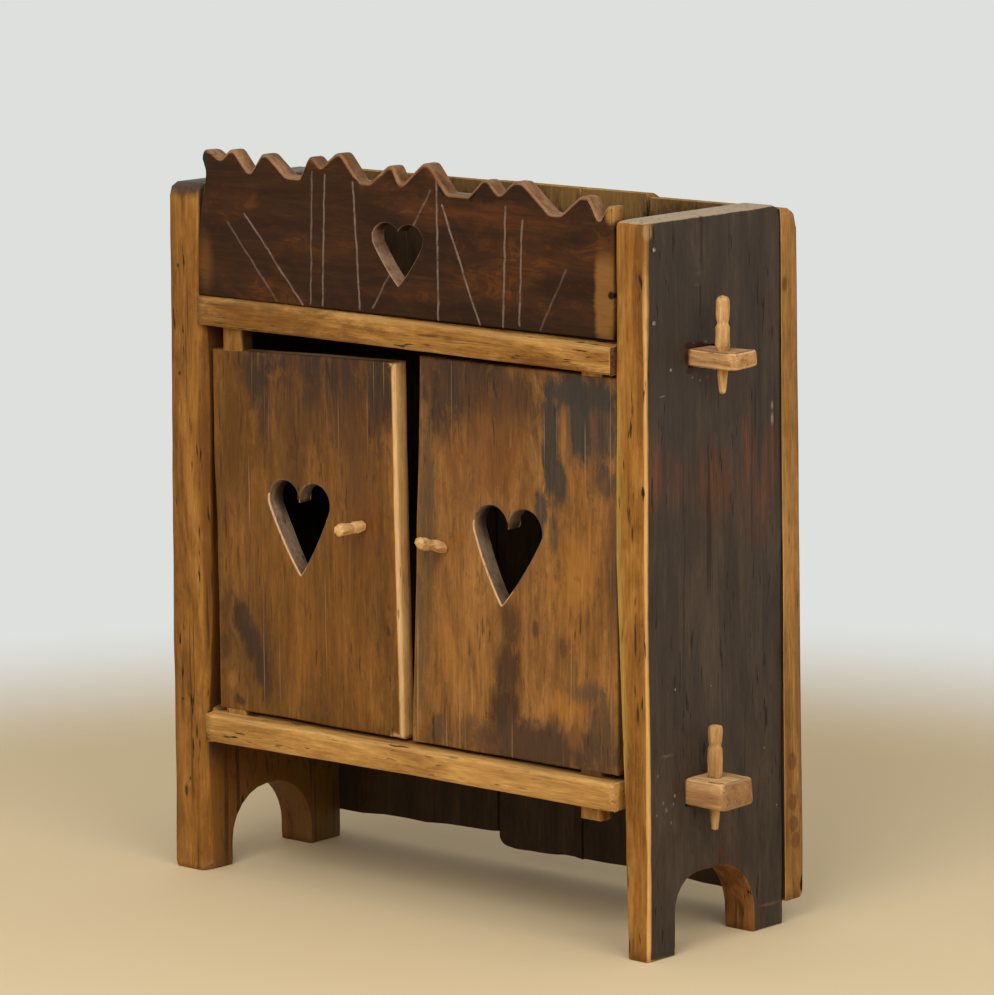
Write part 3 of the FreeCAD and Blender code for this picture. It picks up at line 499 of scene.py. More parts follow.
def shelf_skin(seed, low, high, ends, overhang, bevel, sag, sawn_end):
    """Skin of a shelf without its tenons. At the front its top sinks by the first sag on the left and the
    second on the right, and its bottom by the other two. The front is rubbed, and so is the rim of its right
    end, whose pale crest is worn wood and also a painted highlight. The end may be marked as sawn."""
    face, cells = shelf_face(seed, ends, overhang, bevel)
    x, y = face.T
    nose = (y < FRONT + 0.001) & (x < ends[1] - 0.0008) & (x > ends[0] + 0.0008)
    fore = np.clip((FRONT + 0.016 - y) / 0.016, 0, 1)
    to_left, to_right = fore * np.clip(-x / INSIDE, 0, 1), fore * np.clip((x / INSIDE + 1) / 2, 0, 1) ** 2
    bottom = low - 0.0015 * fore - sag[2] * to_left - sag[3] * to_right
    top = high - sag[0] * to_left - sag[1] * to_right
    points, cells, edge, arris = board(face, cells, bottom, top, 0.0010 + 0.0040 * nose, seed,
                                       far_arris=0.0010 + 0.0065 * nose)
    x, y = points[:, 0], points[:, 1] - FRONT
    at_end = (x > ends[1] - 0.0010) & (y < 0.004) & (edge > ON_WALL)
    rim = (x > ends[1] - 0.0024) & (y < 0.004 - overhang[1]) & ~at_end
    edge = np.where(at_end & sawn_end, SAWN, np.where(y < 0.008, 1.0, edge))
    return points, cells, edge, np.where(rim, 1.2, arris)


def ring(outer, inner, rows):
    """Grid between two loops with the same number of points: straight lines run from each inner point to its
    outer one, and rows step along them."""
    share = np.linspace(0, 1, rows)[:, None, None]
    return ((1 - share) * inner + share * outer).reshape(-1, 2), cells_of(rows, len(inner), closed=True)


def tenon_face(hand, reach, near, far, bore, blunt):
    """Tenon seen from above, in (width, depth): a loop that runs round it from near to far, a little wider at
    its end and with the two outer corners cut off, and a ring of cells from that to the round peg hole."""
    low, spread, cut = INSIDE - 0.004, 0.0008, 0.0020
    corners = np.array([(low, near), (reach - blunt, near - spread), (reach, near + 0.7 * blunt),
                        (reach, far - cut), (reach - cut, far + spread), (low, far), (low, near)])
    corners = corners - (0, PEG_LINE)
    run = np.concatenate([[0], np.cumsum(np.linalg.norm(np.diff(corners, axis=0), axis=1))])
    at = np.linspace(0, run[-1], 97)[:-1]
    loop = np.column_stack([np.interp(at, run, corners[:, 0]), np.interp(at, run, corners[:, 1])])
    turn = np.arctan2(loop[:, 1], loop[:, 0] - bore)
    hole = np.column_stack([bore + PEG_HOLE * np.cos(turn), PEG_HOLE * np.sin(turn)])
    points, cells = ring(loop, hole, 7)
    return points * (hand, 1) + (0, TENON_MIDDLE), cells


def tenon_skin(hand, seed, low, high, reach, near, far, bore, blunt):
    """Skin of a tenon. Its arrises are rough except in the peg hole, and its end and its near side slant back
    towards the top by the taper."""
    face, cells = tenon_face(hand, reach, near, far, bore, blunt)
    in_bore = np.hypot(face[:, 0] - hand * bore, face[:, 1] - TENON_MIDDLE) < PEG_HOLE + 0.002
    near_arris, far_arris = np.where(in_bore, 0.0004, 0.0048), np.where(in_bore, 0.0004, 0.0030)
    points, cells, edge, arris = board(face, cells, low, high, near_arris, seed, 0.0009, far_arris)
    taper = 0.0030 * np.clip((points[:, 2] - low) / (high - low), 0, 1) * (edge > 0.5)
    points[:, 0] -= hand * taper * np.clip((hand * points[:, 0] - reach + 0.02) / 0.02, 0, 1)
    points[:, 1] += taper * np.clip((near + 0.012 - points[:, 1] + FRONT) / 0.012, 0, 1)
    return points, cells, edge, arris


# Darker on the top shelf behind the frieze and on the bottom shelf inside, darker wax along the top shelf's
# front, and lighter wear along the bottom one's.
shelf_late = [
    blot((-250, -6.75, 181), (30, 30, 6), (196, 148, 84), 0.6, 0.3, 0.3),
    blot((0, 235.25, 634), (400, 200, 12), (92, 68, 42), 0.85, 0.6, 0.3),
    blot((0, 175.25, 170), (300, 155, 50), (70, 46, 24), 0.85, 0.8, 0.3),
    blot((-190, 0, 612), (170, 40, 40), (104, 65, 20), 0.75, 0.3, 0.8, 0.4),
    blot((190, 0, 166), (160, 40, 30), (198, 150, 84), 0.5, 0.3, 0.8, 0.4),
    blot((200, 0, 600), (100, 40, 10), (104, 62, 28), 0.7, 0.3, 0.8),
    blot((-100, 0, 600), (120, 40, 9), (120, 76, 34), 0.6, 0.3, 0.8),
    blot((0, 0, 616), (500, 30, 28), (110, 70, 24), 0.25, 0.8, 0.8),
    blot((0, 0, 166), (500, 30, 28), (208, 160, 92), 0.22, 0.8, 0.8)]
shelf_wax = waxed_wood(
    "shelf_wax", "X", tones=((80, 52, 24), (112, 76, 36), (140, 98, 50)),
    rubbed=((132, 86, 34), (172, 122, 58), (204, 155, 86)), crest=(218, 170, 102), smoke=(84, 54, 24),
    smoke_share=0.4, sawn=((52, 28, 14), (74, 42, 20), (98, 60, 30)), crest_share=0.5,
    late_marks=shelf_late, pits=1.0, pit_scale=230.0, clefts=0.6, polish=0.45, figure=40.0)
tenon_late = [
    blot((379, 84, 167), (6.5, 60, 50), (132, 94, 62), 0.6, 0.6, 0.05),
    blot((355, 59.5, 160), (50, 6, 20), (150, 108, 70), 0.5, 0.5, 0.2)]
tenon_wood = waxed_wood(
    "tenon_wood", "X", tones=((176, 132, 86), (206, 162, 112), (226, 184, 134)),
    rubbed=((144, 103, 60), (184, 138, 86), (212, 166, 112)), crest=(222, 178, 128), smoke=(146, 98, 62),
    smoke_share=0.35, crest_share=0.85, late_marks=tenon_late, polish=0.62, pit_scale=420.0, figure=60.0)
for shelf, seed, body, tenon in (
        ("bottom_shelf", 41,
         dict(low=0.152, high=0.182, ends=(-0.2810, 0.2875), overhang=(0.007, 0.009), bevel=0.0045,
              sag=(0.004, 0.0, 0.004, 0.0), sawn_end=False),
         dict(low=0.1530, high=0.182, reach=0.3790, near=0.0595, far=0.1090, bore=0.3480, blunt=0.004)),
        ("top_shelf", 51,
         dict(low=0.601, high=0.632, ends=(-0.2860, 0.2865), overhang=(0.006, 0.0085), bevel=0.0,
              sag=(0.0, 0.0055, 0.0, 0.003), sawn_end=True),
         dict(low=0.6015, high=0.621, reach=0.3850, near=0.0680, far=0.1065, bore=0.3565, blunt=0.008))):
    skins = [shelf_skin(seed, **body)] + [tenon_skin(hand, seed + 5 + hand, **tenon) for hand in (-1, 1)]
    make(shelf + "_plank", skins, [shelf_wax, tenon_wood, tenon_wood], "carcass", [shelf])

# Tusk pegs
# Four sticks whittled from bare pale wood, with a swollen head above a waist and a thinner point below.
# Each is pushed down through its tenon and draws the side up against the shelf.
PEG_HEAD, PEG_POINT = 0.054, 0.026
STICK_TURNS, STICK_ROWS, STICK_BLUR = 40, 60, 0.03


def whittled(stations, facets, seed, blunt, rough):
    """Whittled stick standing on its own axis, as a skin with no worn edges. The radius follows the stations
    (height, radius), blurred over a share of the length, and each knife cut takes the round down to the side
    of a polygon with that many sides. Its ends are rounded over the blunt share of the length and close on the
    axis, and rough says how uneven it is."""
    heights, radii = np.array(stations).T
    span = heights[-1] - heights[0]
    share = 0.5 - 0.5 * np.cos(np.linspace(0, np.pi, STICK_ROWS))
    height = heights[0] + span * (0.25 * share + 0.75 * np.linspace(0, 1, STICK_ROWS))
    taps = height[:, None] + np.linspace(-0.5, 0.5, 9) * STICK_BLUR * span
    radius = np.interp(np.clip(taps, heights[0], heights[-1]), heights, radii).mean(1)
    end = np.minimum(height - heights[0], heights[-1] - height) / (blunt * span)
    radius = radius * np.sqrt(np.clip(1 - (1 - np.clip(end, 0, 1)) ** 2, 0, 1))
    turn = np.linspace(0, 2 * np.pi, STICK_TURNS, endpoint=False)
    drift = 0.5 * swell(np.column_stack([height * 20, height * 0]), seed, 0.8)[:, None]
    step = 2 * np.pi / facets
    side = np.cos(step / 2) / np.cos((turn + drift) % step - step / 2)
    unrolled = np.stack(np.broadcast_arrays(height[:, None] * 8, np.sin(turn) * 0.2), -1)
    flat = radius[:, None] * (1 - 0.85 * (1 - side)) * (1 - rough * (1 + swell(unrolled, seed + 1, 0.15)))
    points = np.stack(np.broadcast_arrays(flat * np.cos(turn), flat * np.sin(turn), height[:, None]), -1)
    nought = np.zeros(flat.size)
    return points.reshape(-1, 3), cells_of(*flat.shape, closed=True), nought, nought


PALE = ((160, 117, 66), (194, 149, 94), (220, 178, 121))
peg_wood = waxed_wood(
    "peg_wood", "Z", PALE, PALE, crest=(224, 184, 130), smoke=(168, 116, 70), smoke_share=0.35, pits=1.0,
    polish=0.6, pit_scale=420.0, figure=120.0, grainy=0.4)
for shelf, low, high, bore, waist, thick, cut, blunt, seed in (
        ("bottom", 0.152, 0.182, 0.3480, 0.60, 0.0083, 0.0068, 0.016, 61),
        ("top", 0.601, 0.621, 0.3565, 0.48, 0.0079, 0.0052, 0.035, 62)):
    stations = [(low - PEG_POINT, 0.0036), (low - 0.003, 0.0058), (low, 0.0063), (high, 0.0063)]
    stations += [(high + 0.0006, thick), (high + (waist - 0.07) * PEG_HEAD, thick * 1.02),
                 (high + waist * PEG_HEAD, thick * 0.72), (high + (waist + 0.08) * PEG_HEAD, thick * 0.92),
                 (high + 0.90 * PEG_HEAD, thick * 0.97), (high + PEG_HEAD, cut)]
    for side, hand in (("left", -1), ("right", 1)):
        stick = whittled(stations, 9, seed + hand, blunt, rough=0.045)
        placed = (stick[0] + (hand * bore, TENON_MIDDLE, 0),) + stick[1:]
        peg = f"{shelf}_{side}_peg"
        make(f"{shelf}_{side}_tusk_peg", [placed], [peg_wood], peg, [peg])

# Frieze board
# A dark waxed board that stands on the top shelf between the sides. Its upper edge is sawn to uneven teeth,
# a heart is cut through it, and straight lines are scratched into its face with a point.
FRIEZE_FOOT, FRIEZE_THICK, VALLEY, TOOTH = 0.632, 0.020, 0.768, 0.028
FRIEZE_END, HEART_LEFT, HEART_RIGHT = 0.2840, -0.064, 0.056
# Each level stretch of the tooth line: its two ends as shares of the half width, and its height in teeth.
TEETH = np.array([
    (-0.960, -0.935, 0.72), (-0.885, -0.875, 0.45), (-0.830, -0.815, 0.80), (-0.745, -0.725, 0.05),
    (-0.670, -0.650, 0.74), (-0.560, -0.475, 0.00), (-0.435, -0.425, 0.78), (-0.387, -0.377, 0.47),
    (-0.303, -0.288, 1.00), (-0.205, -0.140, 0.03), (-0.055, -0.035, 0.70), (-0.005, 0.015, 0.10),
    (0.113, 0.133, 0.90), (0.210, 0.335, -0.12), (0.393, 0.407, 0.48), (0.455, 0.473, 0.02),
    (0.535, 0.568, 0.53), (0.690, 0.750, -0.52), (0.835, 0.868, 0.20), (0.910, 0.926, -0.56),
    (0.955, 0.985, -0.07)])
# Each scratched line: across and height of its two ends in millimetres, and its depth.
SCRATCHES = ((-244, 713, -174, 635, 0.45), (-219, 724, -137, 634, 0.9), (-122, 774, -126, 636, 0.6),
             (-104, 772, -109, 635, 0.8), (-65, 767, -56, 636, 0.9), (42, 766, -38, 638, 0.55),
             (50, 777, 52, 633, 0.9), (57, 752, 108, 633, 1.0), (143, 756, 139, 632, 0.8),
             (165, 744, 161, 637, 0.85), (222, 698, 189, 634, 0.35))


def tooth_line(across):
    """Height of the frieze's upper edge: straight cuts between short level stretches, blurred over 5 mm."""
    middle, flat = TEETH[:, :2].mean(1), 0.4 * (TEETH[:, 1] - TEETH[:, 0])
    flat[::2] += 0.0075
    level = np.column_stack([middle - flat, middle + flat]).reshape(-1)
    at = np.concatenate([[-0.99], level, [0.998]]) * INSIDE
    height = VALLEY + TOOTH * np.concatenate([[0.20], np.repeat(TEETH[:, 2], 2), [-0.12]])
    return np.interp(across[:, None] + np.linspace(-0.0025, 0.0025, 9), at, height).mean(1)


def bend(first, over_point, last, count):
    """Points on the circle through three points, from the first past the middle one to the last."""
    first, over_point, last = np.array([first, over_point, last])
    chords = np.array([over_point - first, last - first])
    squares = [over_point @ over_point - first @ first, last @ last - first @ first]
    middle = np.linalg.solve(2 * chords, squares)
    spoke = [np.arctan2(*(point - middle)[::-1]) for point in (first, over_point, last)]
    turn = (spoke[2] - spoke[0]) % (2 * np.pi)
    if (spoke[1] - spoke[0]) % (2 * np.pi) > turn:
        turn -= 2 * np.pi
    at = spoke[0] + turn * np.linspace(0, 1, count)
    return middle + np.hypot(*(first - middle)) * np.column_stack([np.cos(at), np.sin(at)])


def heart_line(middle, tip, width, height, lean, notch):
    """Outline of a cut heart, round from the tip up its right side: on each side one arc from the notch over
    the lobe to the flank, and one from the flank past the cheek to the tip, which leans to one side."""
    halves = []
    for hand in (1, -1):
        flank = (middle + hand * 0.50 * width, tip + 0.74 * height)
        lobe = bend((middle, tip + notch * height), (middle + hand * 0.30 * width, tip + height), flank, 60)
        cheek_middle = (middle + hand * 0.28 * width + lean / 2, tip + 0.36 * height)
        cheek = bend(flank, cheek_middle, (middle + lean, tip), 60)
        halves.append(np.concatenate([lobe, cheek[1:]]))
    return np.concatenate([halves[0][::-1], halves[1][1:-1]])


def facing(loop, heart, middle):
    """Points of the heart that face the points of a loop round it, by their bearing from the middle. The
    loop's points that come nearest to the tip and the notch face these exactly."""
    bearing = np.unwrap(np.arctan2(heart[:, 1] - middle[1], heart[:, 0] - middle[0]))
    turns = np.concatenate([bearing + whole * np.pi for whole in (-2, 0, 2)])
    order = np.argsort(turns)
    line, points = turns[order], np.tile(heart, (3, 1))[order]
    want = np.arctan2(loop[:, 1] - middle[1], loop[:, 0] - middle[0])
    inner = np.column_stack([np.interp(want, line, points[:, 0]), np.interp(want, line, points[:, 1])])
    for sharp in (heart[0], heart[len(heart) // 2]):
        off = np.angle(np.exp(1j * (want - np.arctan2(*(sharp - middle)[::-1]))))
        inner[np.argmin(np.abs(off))] = sharp
    return inner


def frieze_face():
    """Face of the frieze in (width, height). Upright lines rise from the foot to the tooth line, and a ring of
    cells takes their place round the heart. The left end is hollowed by hand below its last tooth."""
    rows = np.array([0, 0.09, 0.2, 0.32, 0.44, 0.56, 0.66, 0.74, 0.81, 0.87, 0.92, 0.965, 1])
    part, up = np.linspace, rows[:, None]
    blocks = []
    for foot, top in ((part(-INSIDE, HEART_LEFT, 101), part(-FRIEZE_END, HEART_LEFT, 101)),
                      (part(HEART_RIGHT, FRIEZE_END, 109), part(HEART_RIGHT, FRIEZE_END, 109))):
        across, height = foot + (top - foot) * up, FRIEZE_FOOT + (tooth_line(top) - FRIEZE_FOOT) * up
        hollow = np.interp(height, [0.700, 0.735, 0.764, 0.784], [0, 0.004, 0.0085, 0])
        blocks.append(gridded(across + hollow * np.clip((-0.262 - across) / 0.02, 0, 1), height))
    across = part(HEART_LEFT, HEART_RIGHT, 57)
    crown = tooth_line(across)
    right = np.column_stack([0 * rows + HEART_RIGHT, FRIEZE_FOOT + (crown[-1] - FRIEZE_FOOT) * rows])
    left = np.column_stack([0 * rows + HEART_LEFT, FRIEZE_FOOT + (crown[0] - FRIEZE_FOOT) * rows])
    loop = np.concatenate([np.column_stack([across, 0 * across + FRIEZE_FOOT])[:-1], right[:-1],
                           np.column_stack([across, crown])[:0:-1], left[:0:-1]])
    heart = heart_line(-0.004, 0.664, 0.071, 0.0635, 0.001, 0.88)
    blocks.append(ring(loop, facing(loop, heart, np.array([-0.0035, 0.701])), 8))
    return joined(blocks)


def frieze_skin():
    """Skin of the frieze. Its teeth keep their wear, its foot and ends next to other pieces keep a tenth, and
    the walls of the heart are marked as sawn, with a painted highlight as a pale rim at the lower left alone."""
    face, cells = frieze_face()
    arris = np.where(face[:, 1] > 0.745, 0.0034, 0.0018)
    arris = np.where(np.hypot(face[:, 0] + 0.004, face[:, 1] - 0.700) < 0.047, 0.0014, arris)
    points, cells, edge, arris = board(face, cells, FRONT, FRONT + FRIEZE_THICK, arris, 71)
    x, z = points[:, 0], points[:, 1]
    pierced = np.hypot(x + 0.004, z - 0.700) < 0.047
    hidden = (z < 0.642) | ((np.abs(x) > 0.279) & (z < 0.755))
    # The heart's rim above and to the right keeps no painted highlight.
    shaded = hidden | (pierced & ((z > 0.714) | (x > 0)))
    edge = np.where(pierced, np.where(edge > ON_WALL, SAWN, 0.0), np.where(hidden, 0.1, 1.0) * edge)
    return laid((points, cells, edge, np.where(shaded, 0.1, 1.0) * arris), "XZY")


def scratched(tree, place, wood):
    """Scratched lines: where the distance from a straight stretch between two points, seen from the front,
    is about a millimetre or less, a pale groove shows, on the front face alone. Noise makes it waver and fade.
    Under it lie warm clouds and in these rusty smears, thin crooked bands where a noise is near its middle."""
    drift = add(tree, "Mapping", {"Vector": place, "Scale": (0.45, 1.0, 1.0)}).outputs[0]
    band = noise(tree, drift, Scale=36, Detail=5, Roughness=0.6, Distortion=1.2)[0]
    thin = reckon(tree, "ABSOLUTE", reckon(tree, "SUBTRACT", band, 0.5))
    field = noise(tree, drift, Scale=17, Detail=4)[0]
    wood = over(tree, ease(tree, field, 0.46, 0.64, 0.0, 0.5), wood, (86, 49, 23))
    smear = reckon(tree, "MULTIPLY", ease(tree, thin, 0.06, 0.0), ease(tree, field, 0.46, 0.64, 0.0, 0.38))
    wood = over(tree, smear, wood, (120, 68, 24))
    waver = noise(tree, place, Scale=60, Detail=4)[1]
    skip = noise(tree, place, Scale=110, Detail=3)[0]
    moved = steer(tree, "MULTIPLY_ADD", waver, (0.004, 0, 0.004), place)
    flat = steer(tree, "MULTIPLY_ADD", moved, (1, 0, 1), (-0.002, 0, -0.002))
    deepest = 0.0
    for *ends, depth in SCRATCHES:
        ax, az, bx, bz = (end / 1000 for end in ends)
        run = np.array([bx - ax, 0, bz - az])
        from_start = steer(tree, "SUBTRACT", flat, (ax, 0, az))
        along = steer(tree, "DOT_PRODUCT", from_start, (run / (run @ run)).tolist())
        along = add(tree, "Clamp", {0: along}).outputs[0]
        nearest = add(tree, "VectorMath", {0: run.tolist(), "Scale": along}, operation="SCALE").outputs[0]
        away = steer(tree, "DISTANCE", from_start, nearest)
        deepest = reckon(tree, "MAXIMUM", deepest, ease(tree, away, 0.0016, 0.0007, 0.0, depth))
    deepest = reckon(tree, "MULTIPLY", deepest, ease(tree, skip, 0.34, 0.56, 0.55, 1.0))
    depth = add(tree, "SeparateXYZ", {0: place}).outputs[1]
    deepest = reckon(tree, "MULTIPLY", deepest, ease(tree, depth, FRONT + 0.004, FRONT + 0.010, 1.0, 0.0))
    return over(tree, reckon(tree, "MULTIPLY", deepest, 0.9), wood, (130, 112, 98)), deepest


# Light worn ends and a rusty streak. Then a nail hole, a pale tooth, a dark tooth and shade atop the heart.
frieze_marks = [
    blot((-277, 0, 668), (16, 30, 45), (104, 65, 29), 0.9, 0.1, 0.3),
    blot((272.5, 0, 676), (15, 30, 54), (134, 92, 46), 0.95, 0.3, 0.25, square=True),
    blot((120, 0, 745), (160, 30, 20), (104, 58, 26), 0.5, 0.1, 1.0, 0.4)]
frieze_late = [
    blot((281, 0, 677), (5, 20, 5), (14, 8, 5), 1.0, 0.65, 0.1),
    blot((281, 0, 766), (12, 30, 22), (166, 121, 62), 0.85, 0.5, 0.3),
    blot((-283, 0, 778), (15, 14, 22), (40, 40, 35), 0.95, 0.5, 0.2),
    blot((-4, 12, 728), (50, 16, 18), (38, 26, 18), 0.9, 0.6, 0.2)]
frieze_wax = waxed_wood(
    "frieze_wax", "X", tones=((41, 23, 10), (52, 30, 14), (68, 40, 18)),
    rubbed=((92, 61, 37), (124, 87, 56), (152, 113, 78)), crest=(164, 123, 86), smoke=(42, 27, 16),
    sawn=((98, 72, 52), (136, 104, 78), (166, 130, 100)), crest_share=0.5, marks=frieze_marks,
    late_marks=frieze_late, pits=0.4, polish=0.45, tear=0.012, mottled=0.5, grainy=0.3, lines=scratched,
    shine=0.10)
make("toothed_frieze", [frieze_skin()], [frieze_wax], "carcass", ["frieze_board"])

# Frieze nails
# Small forged nails, driven through the sides into the ends of the frieze. Only their flat hammered heads
# show on the outside of the sides.


def nail_heads(places, across, radius, thickness, seed):
    """Hammered nail heads on a flat: each is a low dome with five blunt sides, on a ring of turns and steps
    from its rim to its middle, and closed below. Places are points, and across is the axis it faces along."""
    turn = np.linspace(0, 2 * np.pi, 20, endpoint=False)
    step = np.array([0.0, 0.9, 1.0, 0.86, 0.5, 0.0])[:, None]
    lift = np.array([-0.4, -0.4, 0.25, 0.75, 1.0, 1.05])[:, None] * thickness
    draw = np.random.default_rng(seed)
    blunt = 1 + 0.10 * np.cos(5 * turn + draw.uniform(0, 6, (len(places), 1))) - 0.10
    flat = radius * step * blunt[:, None]
    heads = np.empty(flat.shape + (3,))
    out = "XYZ".index(across[1])
    one, two = [axis for axis in range(3) if axis != out]
    heads[..., one], heads[..., two] = flat * np.cos(turn), flat * np.sin(turn)
    heads[..., out] = lift * (1 if across[0] == "+" else -1)
    heads += np.array(places)[:, None, None]
    cells = cells_of(len(step), len(turn), closed=True) + flat[0].size * np.arange(len(places))[:, None, None]
    return heads.reshape(-1, 3), cells.reshape(-1, 4), np.zeros(flat.size), np.zeros(flat.size)


def forged(name, tones, rust):
    """Forged iron: scale by small noise between two tones, rust in larger patches, both raised a little."""
    finish = bpy.data.materials.new(name)
    tree = blank(finish)
    place = add(tree, "TexCoord").outputs["Object"]
    scale = noise(tree, place, Scale=900, Detail=4)[0]
    patch = noise(tree, place, Scale=260, Detail=3)[0]
    metal = tones_by(tree, scale, (0.35, 0.65), tones)
    metal = over(tree, ease(tree, patch, 0.45, 0.62, 0.0, 0.8), metal, rust)
    bump = add(tree, "Bump", {"Strength": 0.4, "Distance": 0.0004, "Height": scale}).outputs[0]
    rough = ease(tree, patch, 0.3, 0.7, 0.42, 0.75)
    shader = add(tree, "BsdfPrincipled", {"Base Color": metal, "Roughness": rough, "Normal": bump,
                                          "Metallic": 0.6})
    add(tree, "OutputMaterial", {"Surface": shader.outputs[0]})
    return finish


worn_iron = forged("worn_iron", ((104, 96, 86), (186, 176, 158)), (124, 100, 78))
heads = [nail_heads([(x, FRONT + FRIEZE_THICK / 2, z) for z in (0.6521, 0.7252)], way, 0.0026, 0.0011, seed)
         for x, way, seed in ((-0.3318, "-X", 80), (0.3278, "+X", 82))]
make("frieze_nail_heads", heads, [worn_iron, worn_iron], "carcass", ["frieze_nails"])

# Back planks
# Four upright planks of uneven width, rough and dry, nailed over the back edges of the sides and shelves.
# Their feet were sawn off at different heights.
BACK_LOW, BACK_HIGH = SHELF_BACK, FRONT + 0.2445
BACK_ROWS, CROWN_ROUND = 57, 0.003
BACK_ROUND = np.array([0, 0.4, 1.2, 2.6, 5, 8, 12]) / 1000
# Each plank: its two edges, how much it narrows at the right and widens again at its foot, the rounding of
# its foot's left corner, the height of its foot at the left and right, and its top.
BACK_PLANKS = ((-OUTSIDE, -0.0575, 0.0, 0.0, 0.003, 0.0270, 0.0383, 0.7510),
               (-0.0567, 0.0613, 0.0, 0.0, 0.012, 0.0221, 0.0259, 0.7520),
               (0.0621, 0.1521, 0.0, 0.0, 0.002, 0.0259, 0.0270, 0.7520),
               (0.1529, OUTSIDE, 0.0055, 0.010, 0.002, 0.0270, 0.0232, 0.7484))


def back_skin(number, left, right, narrow, widen, corner, left_foot, right_foot, top):
    """Skin of a back plank. Upright lines, closer at both edges, rise from a foot that wanders by slow waves,
    rounded at its left corner, to a crown rounded at both. A plank that widens also thickens at its foot. Its
    back is worn down at the top, and only the outer edges and the top keep their wear."""
    wide, climb = right - narrow - left, np.linspace(0, 1, BACK_ROWS)[:, None]
    inner = np.linspace(BACK_ROUND[-1], wide - BACK_ROUND[-1], 9)[1:-1]
    across = np.concatenate([BACK_ROUND, inner, wide - BACK_ROUND[::-1]])
    inset, edge = across.clip(0, corner), np.minimum(across, wide - across).clip(0, CROWN_ROUND)
    waves = 0.0012 * (1 + swell(np.column_stack([across, 0 * across]), 91 + number, 0.05))
    rounding = corner - np.sqrt(corner ** 2 - (corner - inset) ** 2)
    foot = left_foot + (right_foot - left_foot) * across / wide + waves + rounding
    crown = top - CROWN_ROUND + np.sqrt(CROWN_ROUND ** 2 - (CROWN_ROUND - edge) ** 2)
    face, cells = gridded(left + across + widen * (1 - climb) * across / wide, foot + (crown - foot) * climb)
    thick = (BACK_HIGH + 0.4 * widen * (1 - climb) + 0 * across).reshape(-1)
    ends = (face[:, 1] > top - 0.014) | (face[:, 1] < 0.045)
    skin = board(face, cells, BACK_LOW, thick, 0.0017, 95 + number, far_arris=np.where(ends, 0.0075, 0.0017))
    points, cells, edge, arris = laid(skin, "XZY")
    worn = np.clip((points[:, 1] - BACK_HIGH + 0.020) / 0.020, 0, 1.2) ** 2
    points[:, 2] -= 0.011 * worn * np.clip((points[:, 2] - top + 0.050) / 0.050, 0, 1)
    keep = np.maximum(np.clip((np.abs(points[:, 0]) - 0.320) / 0.006, 0, 1),
                      0.75 * np.clip((points[:, 2] - 0.743) / 0.004, 0, 1))
    return points, cells, edge * keep, arris * keep


# Warm worn spots down the right edge, and painted light along the tops of the planks' inner faces, where
# light falls on them.
back_late = [blot((335, y, z), (20, 8.5, 10.5), (104, 66, 30), 0.7, 0.7, 0.12)
             for y, z in ((231, 170), (231, 127), (233, 104), (236, 86))]
back_late += [blot((333, 224, 669), (20, 6, 12), (84, 52, 22), 0.8, 0.4, 0.2)]
back_painted_light = [
    blot((0, 217.5, 760), (500, 20, 45), (112, 82, 43), 0.85, 0.4, 1.0),
    blot((90, 217.5, 745), (100, 20, 30), (136, 101, 54), 0.75, 0.3, 0.6)]
back_wax = waxed_wood(
    "back_wax", "Z", tones=((44, 31, 19), (58, 42, 26), (74, 54, 32)),
    rubbed=((124, 82, 36), (152, 107, 54), (176, 130, 72)), crest=(190, 142, 80), smoke=(40, 28, 17),
    rub=(0.45, 0.85), marks=back_painted_light, late_marks=back_late, pits=0.5, polish=0.6, shift=(0.3, 0, 0))
for number, plank in enumerate(BACK_PLANKS, 1):
    make(f"back_board_{number}", [back_skin(number, *plank)], [back_wax], "carcass", [f"back_plank_{number}"])

# Back nails
# Forged nails through the back planks into the shelves, two to each plank and shelf. Their black heads are
# hammered down to the wood.
NAIL_INSET, NAIL_HEIGHTS = 0.025, (0.1670, 0.6165)
nail_places = [(x, BACK_HIGH, z) for left, right, *rest in BACK_PLANKS
               for x in (left + NAIL_INSET, right - NAIL_INSET) for z in NAIL_HEIGHTS]
black_iron = forged("black_iron", ((44, 38, 34), (84, 76, 70)), (78, 48, 30))
make("back_nail_heads", [nail_heads(nail_places, "+Y", 0.0042, 0.0011, 85)], [black_iron], "carcass",
     ["back_nails"])

# Doors
# Each door is one wide board with a heart cut through it. The ends of its hanging edge are left as tongues,
# rounded to pivots, that stand in holes of the two shelves.
DOOR_LOW, DOOR_HIGH = FRONT + 0.006, FRONT + 0.026
PIVOT_X, PIVOT_Y = 0.248, FRONT + 0.016
FREE_EDGE = 0.022


def door_face(corners, heart, middle, seed):
    """Face of a door in (width, height): a loop round its four corners, drawn in by slow waves, and a ring of
    cells from that to the heart."""
    sides = zip(corners, corners[1:] + corners[:1], (54, 80, 54, 80))
    run = np.concatenate([np.linspace(start, end, count)[:-1] for start, end, count in sides])
    inward = middle - run
    inward /= np.linalg.norm(inward, axis=1)[:, None]
    run = run + inward * (0.0007 * (1 + swell(run, seed, 0.12)))[:, None]
    return ring(run, facing(run, heart, middle), 15)


